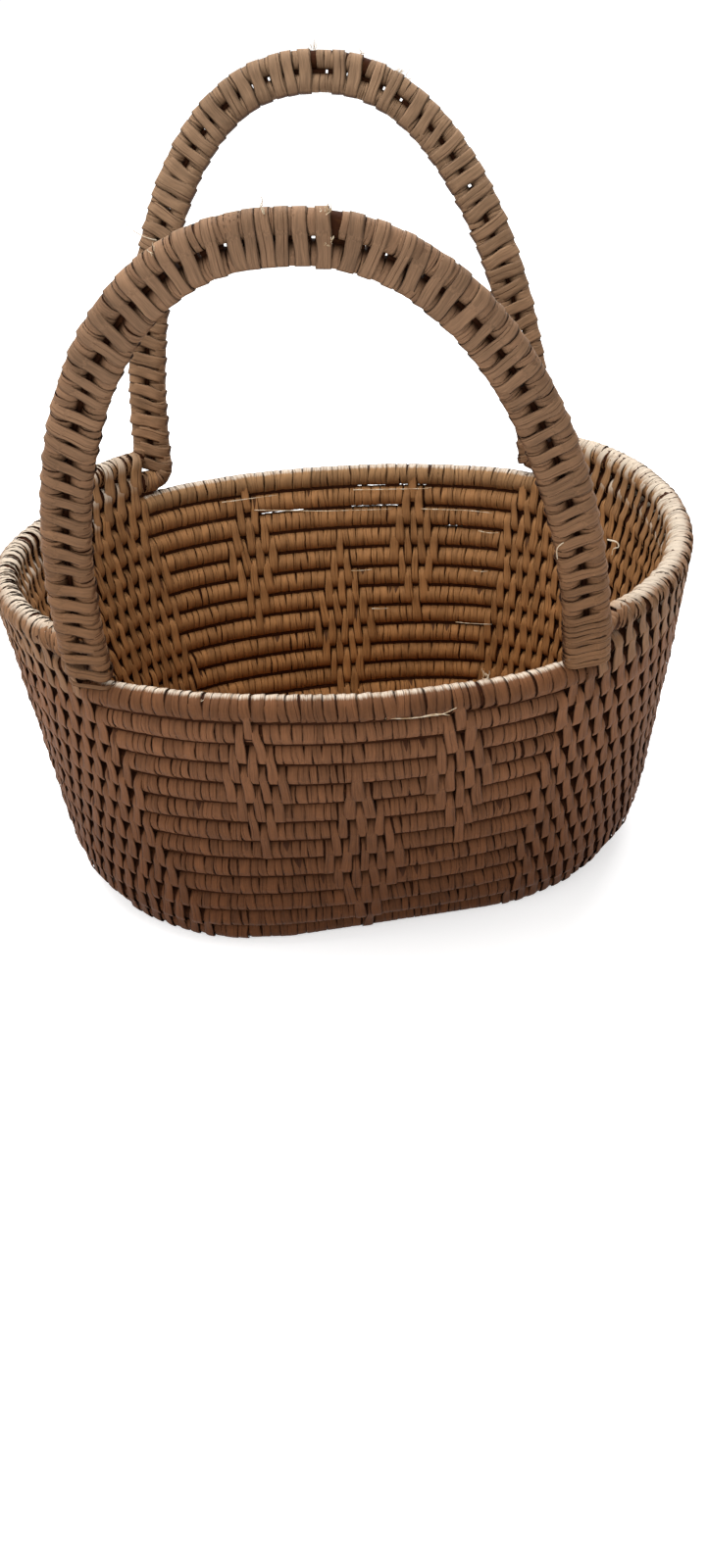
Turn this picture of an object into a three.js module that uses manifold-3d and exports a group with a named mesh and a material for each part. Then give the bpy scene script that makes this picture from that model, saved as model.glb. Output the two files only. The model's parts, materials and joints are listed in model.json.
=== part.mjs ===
// Oval storage basket of coiled grass with two upright handles.
// Millimetres, +Z up. The long axis lies along X and the near long side faces -Y.
// One bundle of grass winds from the middle of the base, up the wall and through both handles.
import * as THREE from "three";
import Module from "manifold-3d";

const wasm = await Module();
wasm.setup();

// Half the thickness of the bundle, between flats: wall, end rows and handles
const COIL_HALF = 5.72;
const END_HALF = 5.5;
const ROD_HALF = 5.15;
const SEAT_GAP = 0.3;
const SIDES = 8;

// Rows of the wall, counted up from the base edge
const WALL_ROUNDS = 13;
const ROW_RISE = 11.85;

// Rounds of the base: their bundle follows from their pitch, and the last step leads to the wall's lowest row
const BASE_ROUNDS = 7;
const BASE_PITCH = 12.2;
const BASE_GAP = 0.7;
const BASE_HALF = (BASE_PITCH - BASE_GAP) / 2;
const BASE_EDGE_GAP = 0.73;
const BASE_EDGE_STEP = COIL_HALF + BASE_EDGE_GAP + BASE_HALF;

// Outline of the rim and of the foot of the wall, to the middle of the bundle.
// The foot is as wide as the rounds of the base, with the two runs of the hairpin side by side in the middle.
const RIM_HALF_LENGTH = 160;
const RIM_HALF_WIDTH = 133.5;
const RIM_SQUARENESS = 4.3;
const RIM_FLATNESS = 0.3;
const FOOT_HALF_LENGTH = 146;
const EDGE_TUCK = 7.5;
const EDGE_ROUNDS = 2;
const FOOT_HALF_WIDTH = EDGE_TUCK + BASE_EDGE_STEP + (BASE_ROUNDS - 0.5) * BASE_PITCH;
const FOOT_FLATNESS = 0.002;

// The weave is not quite true: the base is turned under the rim, and the rim stands higher in front
const BASE_TURN = THREE.MathUtils.degToRad(10);
const RIM_TILT = 5;

// Each wall round climbs onto the one below it in a ramp at the left end
const LEFT_END = Math.PI;
const HALF_RAMP = THREE.MathUtils.degToRad(30);
const START_TAPER = THREE.MathUtils.degToRad(18);
const TAIL_REACH = THREE.MathUtils.degToRad(12);
const STEPS_ROUND = 36;
const STEPS_BASE = 28;
const STEPS_END = 12;
const STEP_SPREAD = 0.15;

// Handles: two rods side by side in a plane that leans outwards with the wall
const HANDLE_HALF_SPAN = 112;
const FRONT_HANDLE_RISE = 193.5;
const BACK_HANDLE_RISE = 207.5;
const HANDLE_LEAN = THREE.MathUtils.degToRad(11);
const CROWN_SHIFT = -8;
const LEG_POWER = 2.24;
const CROWN_POWER = 2.05;
const FOOT_BEND = 7;
const LOWEST_STEPS = [0.075, 0.13];
const STEPS_ARCH = 24;
const APPROACH_TURN = THREE.MathUtils.degToRad(9);

// Bindings: bands of strip that hold the two rods of a handle together
const BINDING_WIDTH = 13;
const BINDING_THICKNESS = 1.2;
const BINDING_GAP = 0.6;
const FOOT_BINDING_ANGLE = THREE.MathUtils.degToRad(8.8);

const STRAW = { color: 0x9a7b56, roughness: 0.75, metalness: 0 };
const RIM_STRAW = { color: 0xb59a78, roughness: 0.72, metalness: 0 };
const HANDLE_STRAW = { color: 0x8f7257, roughness: 0.75, metalness: 0 };
const BASE_STRAW = { color: 0x6f5236, roughness: 0.8, metalness: 0 };
const BINDING_STRAW = { color: 0x836650, roughness: 0.78, metalness: 0 };

const TURN = 2 * Math.PI;
const UP = new THREE.Vector3(0, 0, 1);
const TOP_LEVEL = WALL_ROUNDS - 1;
const ROD_PITCH = 2 * ROD_HALF + SEAT_GAP;
const ROD_CORNER = ROD_HALF / Math.cos(Math.PI / SIDES);
const RIM_TOP = ROW_RISE * TOP_LEVEL + 2 * COIL_HALF;

const mix = THREE.MathUtils.lerp;

// Path through given points. Its section keeps one flat square to a given direction and is mitred
// between the two runs that meet at each point, also across the seam to the neighbouring piece.
class Route extends THREE.CatmullRomCurve3 {
  constructor(points, { square = UP, before = null, after = null }) {
    super(points);
    this.square = square;
    this.whole = [before, ...points, after].filter(Boolean);
    this.offset = before ? 1 : 0;
  }

  getUtoTmapping(u) {
    return u;
  }

  mitre(i) {
    const at = this.whole[i];
    const next = this.whole[i + 1];
    const last = this.whole[i - 1];
    const onwards = next ? next.clone().sub(at).normalize() : new THREE.Vector3();
    const arrived = last ? at.clone().sub(last).normalize() : new THREE.Vector3();
    return onwards.add(arrived).normalize();
  }

  computeFrenetFrames(segments) {
    const tangents = Array.from({ length: segments + 1 }, (_, i) => this.mitre(i + this.offset));
    const normals = tangents.map((t) => this.square.clone().addScaledVector(t, -t.dot(this.square)).normalize());
    const binormals = tangents.map((t, i) => t.clone().cross(normals[i]));
    return { tangents, normals, binormals };
  }
}

// Point of an oval whose outward normal stands at angle phi. Its offset curves keep the same form.
function ovalPoint(halfLength, halfWidth, squareness, flatness, phi) {
  const cos = Math.cos(phi);
  const sin = Math.sin(phi);
  const stretch = (halfLength - halfWidth) / (Math.hypot(1, flatness) - flatness);
  const bend = Math.hypot(cos, flatness);
  const reach = halfWidth + stretch * (bend - flatness) + squareness * Math.sin(2 * phi) ** 2;
  const slip = (-stretch * cos * sin) / bend + 2 * squareness * Math.sin(4 * phi);
  return new THREE.Vector2(reach * cos - slip * sin, reach * sin + slip * cos);
}

// Middle of the bundle at a level: 0 is the base edge, above it the wall, below it the base's inner rounds
function coilPoint(level, phi) {
  const up = Math.max(level, 0);
  const share = up / TOP_LEVEL;
  const tuck = EDGE_TUCK * Math.max(0, 1 - up / EDGE_ROUNDS) ** 2;
  const inwards = BASE_EDGE_STEP * Math.min(Math.max(-level, 0), 1) + BASE_PITCH * Math.max(0, -level - 1);
  const inset = tuck + inwards;
  const plan = ovalPoint(
    mix(FOOT_HALF_LENGTH, RIM_HALF_LENGTH, share) - inset,
    mix(FOOT_HALF_WIDTH, RIM_HALF_WIDTH, share) - inset,
    RIM_SQUARENESS * share,
    mix(FOOT_FLATNESS, RIM_FLATNESS, Math.sqrt(share)),
    phi,
  );
  plan.rotateAround(new THREE.Vector2(), BASE_TURN * Math.max(0, 1 - share));
  const rest = level < 0 ? BASE_HALF : COIL_HALF;
  return new THREE.Vector3(plan.x, plan.y, rest + ROW_RISE * up);
}

// Middle of the winding bundle of the wall, by its whole angle: turn 0 climbs from level 0 to 1
function strandPoint(angle) {
  const turn = Math.floor((angle - LEFT_END + HALF_RAMP) / TURN + 1e-9);
  const phi = angle - turn * TURN;
  const climb = THREE.MathUtils.smoothstep(phi, LEFT_END - HALF_RAMP, LEFT_END + HALF_RAMP);
  return coilPoint(Math.max(0, turn + climb), phi);
}

// Angles of the steps of a run, closer together on the flatter long sides, with one more beyond each end
function stepsBetween(start, end, count) {
  const spread = (angle) => STEP_SPREAD * Math.sin(2 * angle);
  return Array.from({ length: count + 3 }, (_, i) => {
    const share = (i - 1) / count;
    const angle = mix(start, end, share);
    return angle + spread(angle) - mix(spread(start), spread(end), share);
  });
}

// Eight-sided section, flat below and above, from its half thickness
function section(half) {
  const corner = half / Math.cos(Math.PI / SIDES);
  const points = Array.from({ length: SIDES }, (_, i) => {
    const angle = ((i + 0.5) * TURN) / SIDES;
    return new THREE.Vector2(corner * Math.cos(angle), corner * Math.sin(angle));
  });
  return new THREE.Shape(points);
}

function tube(points, half, options = {}) {
  const steps = points.length - 1;
  return new THREE.ExtrudeGeometry(section(half), { steps, extrudePath: new Route(points, options) });
}

// Bundle through a run of points whose first and last only set the direction of its two end faces.
// Both ends draw back by half the gap at the seam.
function seamedTube(run, half) {
  const points = run.slice(1, -1);
  const last = points.length - 1;
  const drawn = points.map((p) => p.clone());
  drawn[0].lerp(points[1], SEAT_GAP / 2 / points[0].distanceTo(points[1]));
  drawn[last].lerp(points[last - 1], SEAT_GAP / 2 / points[last].distanceTo(points[last - 1]));
  return tube(drawn, half, { before: run[0], after: run[run.length - 1] });
}

// Turns a three.js geometry into a manifold solid
function solidFrom(geometry) {
  const flat = geometry.index ? geometry.toNonIndexed() : geometry;
  const positions = flat.getAttribute("position").array;
  const seen = new Map();
  const vertices = [];
  const triangles = new Uint32Array(positions.length / 3);
  for (let i = 0; i < triangles.length; i += 1) {
    const corner = Array.from(positions.slice(3 * i, 3 * i + 3));
    const key = corner.map((value) => Math.round(value * 1e3)).join();
    if (!seen.has(key)) {
      seen.set(key, vertices.length / 3);
      vertices.push(...corner);
    }
    triangles[i] = seen.get(key);
  }
  const mesh = new wasm.Mesh({
    numProp: 3,
    vertProperties: new Float32Array(vertices),
    triVerts: triangles,
  });
  return new wasm.Manifold(mesh);
}

// Turns a manifold solid back into a three.js geometry
function geometryFrom(solid) {
  const mesh = solid.getMesh();
  const geometry = new THREE.BufferGeometry();
  geometry.setAttribute("position", new THREE.BufferAttribute(mesh.vertProperties, mesh.numProp));
  geometry.setIndex(new THREE.BufferAttribute(mesh.triVerts, 1));
  geometry.computeVertexNormals();
  return geometry;
}

const basket = new THREE.Group();

// Sinks the back of the wall and lifts the front, more with height up to the rim
function tilted(geometry) {
  const position = geometry.getAttribute("position");
  for (let i = 0; i < position.count; i += 1) {
    const z = position.getZ(i);
    const share = Math.min(z / RIM_TOP, 1);
    position.setZ(i, z - (RIM_TILT * share * position.getY(i)) / RIM_HALF_WIDTH);
  }
  geometry.computeVertexNormals();
  return geometry;
}

function add(name, geometry, finish) {
  const mesh = new THREE.Mesh(tilted(geometry), new THREE.MeshStandardMaterial(finish));
  mesh.name = name;
  basket.add(mesh);
}

const twoDigits = (number) => String(number).padStart(2, "0");

// Rounds of the base, from the hairpin in the middle outwards, each closed but for a seam at its left end
function addBase() {
  for (let round = 1; round <= BASE_ROUNDS; round += 1) {
    const run = stepsBetween(LEFT_END, LEFT_END + TURN, STEPS_BASE).map((phi) =>
      coilPoint(round - 1 - BASE_ROUNDS, phi),
    );
    add("base_coil_" + twoDigits(round), seamedTube(run, BASE_HALF), BASE_STRAW);
  }
}

// Rounds of the wall. The first starts as a wedge under the second, and the last is the rim.
function addWall() {
  const start = LEFT_END - HALF_RAMP;
  const rounds = Array.from({ length: TOP_LEVEL }, (_, turn) =>
    stepsBetween(start + turn * TURN, start + (turn + 1) * TURN, STEPS_ROUND).map(strandPoint),
  );
  const above = solidFrom(tube(rounds[0].slice(1, -1), COIL_HALF + SEAT_GAP));
  const first = stepsBetween(LEFT_END - START_TAPER - TURN, start, STEPS_ROUND).map(strandPoint);
  const wedge = solidFrom(seamedTube(first, COIL_HALF)).subtract(above);
  const largest = wedge.decompose().sort((a, b) => b.volume() - a.volume())[0];
  add("wall_coil_01", geometryFrom(largest), STRAW);
  rounds.forEach((run, i) => {
    const rim = i === TOP_LEVEL - 1;
    const name = rim ? "rim_coil" : "wall_coil_" + twoDigits(i + 2);
    add(name, seamedTube(run, COIL_HALF), rim ? RIM_STRAW : STRAW);
  });
}

// Direction, seen from above, at which a row of the ends meets a handle's leg at a given distance from the middle
function footAngle(level, halfSpan) {
  let low = THREE.MathUtils.degToRad(30);
  let high = THREE.MathUtils.degToRad(85);
  for (let i = 0; i < 40; i += 1) {
    const middle = (low + high) / 2;
    if (coilPoint(level, middle).x > halfSpan) low = middle;
    else high = middle;
  }
  return low;
}

// Distance of a rod's leg from the middle. Rod 0 is the inner one of a handle and rod 1 the outer one.
const legSpan = (rod) => HANDLE_HALF_SPAN - ROD_PITCH * (1 - rod);

// Distance from the middle at which a rod is parted from its end row, clear of the leg
const partingAt = (rod) => legSpan(rod) + ROD_CORNER + SEAT_GAP;

// A handle: side is -1 for the front and 1 for the back. End is -1 at the left and 1 at the right.
class Handle {
  constructor(name, side, rise) {
    this.name = name;
    this.side = side;
    this.rise = rise;
    this.foot = coilPoint(TOP_LEVEL + 1, this.side * footAngle(TOP_LEVEL + 1, legSpan(0)));
    this.planeNormal = new THREE.Vector3(0, Math.cos(HANDLE_LEAN), -side * Math.sin(HANDLE_LEAN));
  }

  // Point of the handle's plane, from its distance along X and its height above the foot along the lean
  inPlane(across, height) {
    return new THREE.Vector3(
      across + (CROWN_SHIFT * height) / this.rise,
      this.foot.y + this.side * Math.sin(HANDLE_LEAN) * height,
      this.foot.z + Math.cos(HANDLE_LEAN) * height,
    );
  }

  // Point of the arch line of a rod, at an angle from 0 at the right foot to pi at the left one
  archPoint(rod, angle) {
    const at = (a) =>
      new THREE.Vector2(
        HANDLE_HALF_SPAN * Math.sign(Math.cos(a)) * Math.abs(Math.cos(a)) ** (2 / LEG_POWER),
        this.rise * Math.sin(a) ** (2 / CROWN_POWER),
      );
    const along = at(angle + 1e-4).sub(at(angle - 1e-4)).normalize();
    const inwards = new THREE.Vector2(-along.y, along.x).multiplyScalar(ROD_PITCH * (1 - rod));
    const point = at(angle).add(inwards);
    return this.inPlane(point.x, point.y);
  }

  // Points of the end row before the foot, from the oval towards the corner
  approach(rod, end) {
    const level = TOP_LEVEL + 1 + rod;
    const angle = footAngle(level, legSpan(rod)) - APPROACH_TURN * (1 + rod * 0.6);
    return [2, 1, 0].map((step) => {
      const turned = this.side * (angle - (step * APPROACH_TURN) / 2);
      return coilPoint(level, end > 0 ? turned : Math.PI - turned);
    });
  }

  // Rounded bend from the end row up into the leg
  bend(rod, end) {
    const before = this.approach(rod, end)[2];
    const corner = this.inPlane(end * legSpan(rod), (rod * ROW_RISE) / Math.cos(HANDLE_LEAN));
    const upwards = this.inPlane(0, 1).sub(this.inPlane(0, 0)).normalize();
    const along = corner.clone().sub(before).normalize();
    const turn = along.angleTo(upwards);
    const reach = FOOT_BEND * Math.tan(turn / 2);
    const inward = upwards.clone().addScaledVector(along, -along.dot(upwards)).normalize();
    const start = corner.clone().addScaledVector(along, -reach);
    const centre = start.clone().addScaledVector(inward, FOOT_BEND);
    return [0, 1, 2, 3].map((step) => {
      const angle = (turn * step) / 3;
      return centre
        .clone()
        .addScaledVector(inward, -FOOT_BEND * Math.cos(angle))
        .addScaledVector(along, FOOT_BEND * Math.sin(angle));
    });
  }

  // Angles of the steps of the arch: the same for both rods, but for the lowest of the inner one
  archAngles(rod) {
    const shared = LOWEST_STEPS[1];
    const angles = Array.from({ length: STEPS_ARCH + 1 }, (_, i) => mix(Math.PI - shared, shared, i / STEPS_ARCH));
    return rod === 1 ? angles : [Math.PI - LOWEST_STEPS[0], ...angles, LOWEST_STEPS[0]];
  }

  // Whole line of a rod from the left end row over the arch to the right end row
  rodPoints(rod) {
    return [
      ...this.approach(rod, -1).slice(1),
      ...this.bend(rod, -1),
      ...this.archAngles(rod).map((angle) => this.archPoint(rod, angle)),
      ...this.bend(rod, 1).reverse(),
      ...this.approach(rod, 1).slice(1).reverse(),
    ];
  }
}

const front = new Handle("front", -1, FRONT_HANDLE_RISE);
const back = new Handle("back", 1, BACK_HANDLE_RISE);

// Keeps the part of a solid with x above (side 1) or below (side -1) a plane
function keepBeyond(solid, x, side) {
  return solid.trimByPlane([side, 0, 0], side * x);
}

function addRods(handle) {
  ["inner", "outer"].forEach((word, rod) => {
    const whole = solidFrom(tube(handle.rodPoints(rod), ROD_HALF, { square: handle.planeNormal }));
    const trimmed = keepBeyond(keepBeyond(whole, -partingAt(rod), 1), partingAt(rod), -1);
    add(handle.name + "_handle_" + word + "_rod", geometryFrom(trimmed), HANDLE_STRAW);
  });
}

// How far from the middle of an end a row follows the oval before it leaves it for a foot
const rowReach = (rod) => footAngle(TOP_LEVEL + 1 + rod, legSpan(rod)) - APPROACH_TURN * (2.4 + rod * 0.8);

// The part of an end row at a foot of a handle, from the oval to just under the leg
const rowFoot = (handle, rod, end) => [...handle.approach(rod, end), handle.bend(rod, end)[0]];

// Run of points between two angles, without the ones beyond its ends
const runBetween = (from, to, pointAt) => stepsBetween(from, to, STEPS_END).slice(1, -1).map(pointAt);

// Rows over the right end, each from foot to foot
function addRightEnd() {
  ["lower", "upper"].forEach((word, rod) => {
    const points = [
      ...rowFoot(front, rod, 1).reverse(),
      ...runBetween(-rowReach(rod), rowReach(rod), (phi) => coilPoint(TOP_LEVEL + 1 + rod, phi)),
      ...rowFoot(back, rod, 1),
    ];
    const row = keepBeyond(solidFrom(tube(points, END_HALF)), partingAt(rod) + SEAT_GAP, 1);
    add("right_end_" + word + "_coil", geometryFrom(row), RIM_STRAW);
  });
}

// Rows over the left end: the bundle comes up from the rim, and its tail thins out on top of the last row
function addLeftEnd() {
  const edges = [0, 1].map((rod) => -partingAt(rod) - SEAT_GAP);
  const top = TOP_LEVEL * TURN;

  const rise = stepsBetween(LEFT_END - HALF_RAMP + top, LEFT_END + rowReach(0) + top, STEPS_END).map(strandPoint);
  const lower = [...rise.slice(0, -1), ...rowFoot(front, 0, -1)];
  const lowerSolid = solidFrom(seamedTube(lower.concat(front.bend(0, -1)[1]), END_HALF));
  add("left_end_lower_coil", geometryFrom(keepBeyond(lowerSolid, edges[0], -1)), RIM_STRAW);

  const upper = [
    ...rowFoot(back, 0, -1).reverse(),
    ...runBetween(LEFT_END - rowReach(0) + top + TURN, LEFT_END + rowReach(1) + top + TURN, climbToUpper),
    ...rowFoot(front, 1, -1),
  ];
  const besideLeg = keepBeyond(solidFrom(tube(upper, END_HALF)), edges[0], -1).subtract(legRoom(edges[1]));
  add("left_end_upper_coil", geometryFrom(besideLeg), RIM_STRAW);

  const tail = [
    ...rowFoot(back, 1, -1).reverse(),
    ...runBetween(LEFT_END - rowReach(1), LEFT_END + TAIL_REACH, (phi) => coilPoint(TOP_LEVEL + 2, phi)),
  ];
  const thinned = solidFrom(tube(tail, END_HALF)).subtract(solidFrom(tube(upper, END_HALF + SEAT_GAP)));
  add("left_end_tail_coil", geometryFrom(keepBeyond(thinned, edges[1], -1)), RIM_STRAW);
}

// The upper row leaves the back leg at the level of the lower one and climbs in the ramp
function climbToUpper(angle) {
  const phi = angle - (TOP_LEVEL + 1) * TURN;
  const climb = THREE.MathUtils.smoothstep(phi, LEFT_END - HALF_RAMP, LEFT_END + HALF_RAMP);
  return coilPoint(TOP_LEVEL + 1 + climb, phi);
}

// Space beside the front left leg that the upper row keeps clear of
function legRoom(edge) {
  const block = new THREE.BoxGeometry(-edge, 2 * RIM_HALF_WIDTH, 4 * ROW_RISE);
  return solidFrom(block.translate(edge / 2, -RIM_HALF_WIDTH, front.foot.z + ROW_RISE));
}

// Band round both rods of a handle at an angle of its arch
function addBinding(handle, place, angle) {
  const [inner, outer] = [0, 1].map((rod) => handle.archPoint(rod, angle));
  const along = handle.archPoint(1, angle + 1e-3).sub(handle.archPoint(1, angle - 1e-3)).normalize();
  const across = handle.planeNormal.clone().cross(along);
  const outline = racetrack(ROD_CORNER + BINDING_GAP + BINDING_THICKNESS);
  outline.holes.push(racetrack(ROD_CORNER + BINDING_GAP));
  const band = new THREE.ExtrudeGeometry(outline, { depth: BINDING_WIDTH, bevelEnabled: false, curveSegments: 5 });
  band.translate(0, 0, -BINDING_WIDTH / 2);
  const turned = new THREE.Matrix4().makeBasis(across, handle.planeNormal, along);
  band.applyMatrix4(turned.setPosition(inner.add(outer).multiplyScalar(0.5)));
  add(handle.name + "_handle_" + place + "_binding", band, BINDING_STRAW);
}

// Outline of two half circles round the two rods, joined by straight runs along X
function racetrack(radius) {
  return new THREE.Shape()
    .absarc(ROD_PITCH / 2, 0, radius, -Math.PI / 2, Math.PI / 2)
    .absarc(-ROD_PITCH / 2, 0, radius, Math.PI / 2, (3 * Math.PI) / 2);
}

addBase();
addWall();
addRightEnd();
addLeftEnd();
[front, back].forEach((handle) => {
  addRods(handle);
  addBinding(handle, "right_foot", FOOT_BINDING_ANGLE);
  addBinding(handle, "crown", Math.PI / 2);
  addBinding(handle, "left_foot", Math.PI - FOOT_BINDING_ANGLE);
});

export default basket;
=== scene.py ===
"""Coiled grass basket with two handles, dressed in wrapped and stitched straw strips."""

import json
import logging
import math
from dataclasses import dataclass
from enum import Enum, IntEnum
from typing import Any

import bmesh
import bpy
import numpy as np
from mathutils import Matrix, Vector

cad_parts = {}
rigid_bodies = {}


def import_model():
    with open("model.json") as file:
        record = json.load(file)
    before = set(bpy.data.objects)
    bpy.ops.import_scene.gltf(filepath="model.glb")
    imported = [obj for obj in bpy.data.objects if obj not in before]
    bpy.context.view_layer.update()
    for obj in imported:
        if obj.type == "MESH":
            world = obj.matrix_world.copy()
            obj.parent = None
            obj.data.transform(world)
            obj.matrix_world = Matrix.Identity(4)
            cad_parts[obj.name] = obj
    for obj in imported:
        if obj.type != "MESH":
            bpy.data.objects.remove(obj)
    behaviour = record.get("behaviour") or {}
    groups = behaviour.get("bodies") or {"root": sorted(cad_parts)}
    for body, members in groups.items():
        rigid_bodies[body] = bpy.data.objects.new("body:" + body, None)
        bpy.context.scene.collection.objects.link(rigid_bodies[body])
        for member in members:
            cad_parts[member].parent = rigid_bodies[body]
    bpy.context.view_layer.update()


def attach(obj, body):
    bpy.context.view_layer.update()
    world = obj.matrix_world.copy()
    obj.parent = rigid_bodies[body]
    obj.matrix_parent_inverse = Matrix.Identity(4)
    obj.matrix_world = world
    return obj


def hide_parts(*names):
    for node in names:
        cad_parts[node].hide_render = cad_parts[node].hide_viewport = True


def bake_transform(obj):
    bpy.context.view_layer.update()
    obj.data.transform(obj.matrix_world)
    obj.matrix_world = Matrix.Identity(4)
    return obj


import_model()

LOG = logging.getLogger("basket")
MM = 0.001
TURN = 2 * math.pi

Point = tuple[float, float, float]
Lean = tuple[Point, Point]
Colour = tuple[int, int, int]
Fade = tuple[Colour, Colour]


class Seed(IntEnum):
    """First seeds of the random draws, one for each kind of piece or of choice."""

    ROW_SHAPES = 20
    ROD_SHAPES = 31
    WANDER = 40
    STITCH_SHAPES = 50
    BAND_SHAPES = 61
    ROW = 100
    STITCH = 300
    BASE = 700
    ROD = 900
    BAND = 950
    THREAD = 970

    def chance(self, number: int) -> np.random.Generator:
        """Returns the source of chance of one piece of this kind."""
        return np.random.default_rng(self + number)


def linear(colour: Colour) -> tuple[float, ...]:
    """Turns a colour as written in a paint chart into the linear values of a shader, by the sRGB curve.

    Args:
        colour: Red, green and blue, 0 to 255.

    Returns:
        The linear red, green, blue and an alpha of 1.
    """
    shares = [c / 255 for c in colour]
    return (*[s / 12.92 if s <= 0.04045 else ((s + 0.055) / 1.055) ** 2.4 for s in shares], 1.0)


def blended(first: Any, second: Any, share: Any) -> Any:
    """Returns the value between two others, or arrays of them, at a share from 0 to 1."""
    return first + (second - first) * share


def smooth(value: np.ndarray, low: float, high: float) -> np.ndarray:
    """Returns a smooth rise from 0 at low to 1 at high."""
    share = np.clip((value - low) / (high - low), 0, 1)
    return share * share * (3 - 2 * share)


def unit(vectors: np.ndarray) -> np.ndarray:
    """Returns the vectors, one per line, at length 1."""
    return vectors / np.linalg.norm(vectors, axis=-1, keepdims=True)


def reach_along(points: np.ndarray) -> np.ndarray:
    """Returns the length along a line at each of its points."""
    return np.concatenate([[0], np.cumsum(np.linalg.norm(np.diff(points, axis=0), axis=1))])


def read_off(at: np.ndarray, marks: np.ndarray, values: np.ndarray) -> np.ndarray:
    """Reads values between the marks at which they are given.

    Args:
        at: Where to read.
        marks: Rising marks.
        values: One number or one point per mark.

    Returns:
        One number or one point per place.
    """
    if values.ndim == 1:
        return np.interp(at, marks, values)
    return np.stack([np.interp(at, marks, column) for column in values.T], -1)


def thinned(points: np.ndarray, step: int) -> np.ndarray:
    """Returns every step-th point of a line and always its last one."""
    kept = points[::step]
    return kept if np.allclose(kept[-1], points[-1]) else np.vstack([kept, points[-1:]])


def stretches(flags: np.ndarray) -> list[tuple[int, int]]:
    """Returns the start and end of each unbroken stretch of true flags."""
    marks = np.flatnonzero(np.diff(np.concatenate([[0], flags.astype(int), [0]])))
    return list(zip(marks[::2], marks[1::2]))


def skin(made: bmesh.types.BMesh, rings: list[list[bmesh.types.BMVert]], closed: bool) -> None:
    """Joins rings of points by faces.

    Args:
        made: Mesh under construction.
        rings: Rings with the same number of points each.
        closed: Whether the last ring is joined to the first one.
    """
    for ring, following in zip(rings, rings[1:] + (rings[:1] if closed else [])):
        for i, vert in enumerate(ring):
            j = (i + 1) % len(ring)
            made.faces.new((vert, ring[j], following[j], following[i]))


def finished(made: bmesh.types.BMesh, name: str) -> bpy.types.Mesh:
    """Ends a mesh under construction, with its faces outwards and shaded smooth.

    Args:
        made: Mesh under construction.
        name: Name of the mesh.

    Returns:
        The mesh.
    """
    bmesh.ops.recalc_face_normals(made, faces=made.faces)
    mesh = bpy.data.meshes.new(name)
    made.to_mesh(mesh)
    made.free()
    mesh.shade_smooth()
    return mesh


def placed(name: str, data: Any) -> bpy.types.Object:
    """Makes an object at the origin and links it to the scene.

    Args:
        name: Name of the object.
        data: Its mesh, camera or light.

    Returns:
        The object.
    """
    made = bpy.data.objects.new(name, data)
    bpy.context.scene.collection.objects.link(made)
    return made


def dress(piece: bpy.types.Object, body: str, slot: str, *nodes: str) -> None:
    """Lets a piece ride on a body and stand for nodes of the model.

    Args:
        piece: The finished piece.
        body: Body that carries it.
        slot: Not used.
        nodes: Nodes that it replaces.
    """
    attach(piece, body)
    if nodes:
        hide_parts(*nodes)
    LOG.info("%s: %d faces on %s", piece.name, len(piece.data.polygons), body)


# ---------------------------------------------------------------- form of the basket


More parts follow.
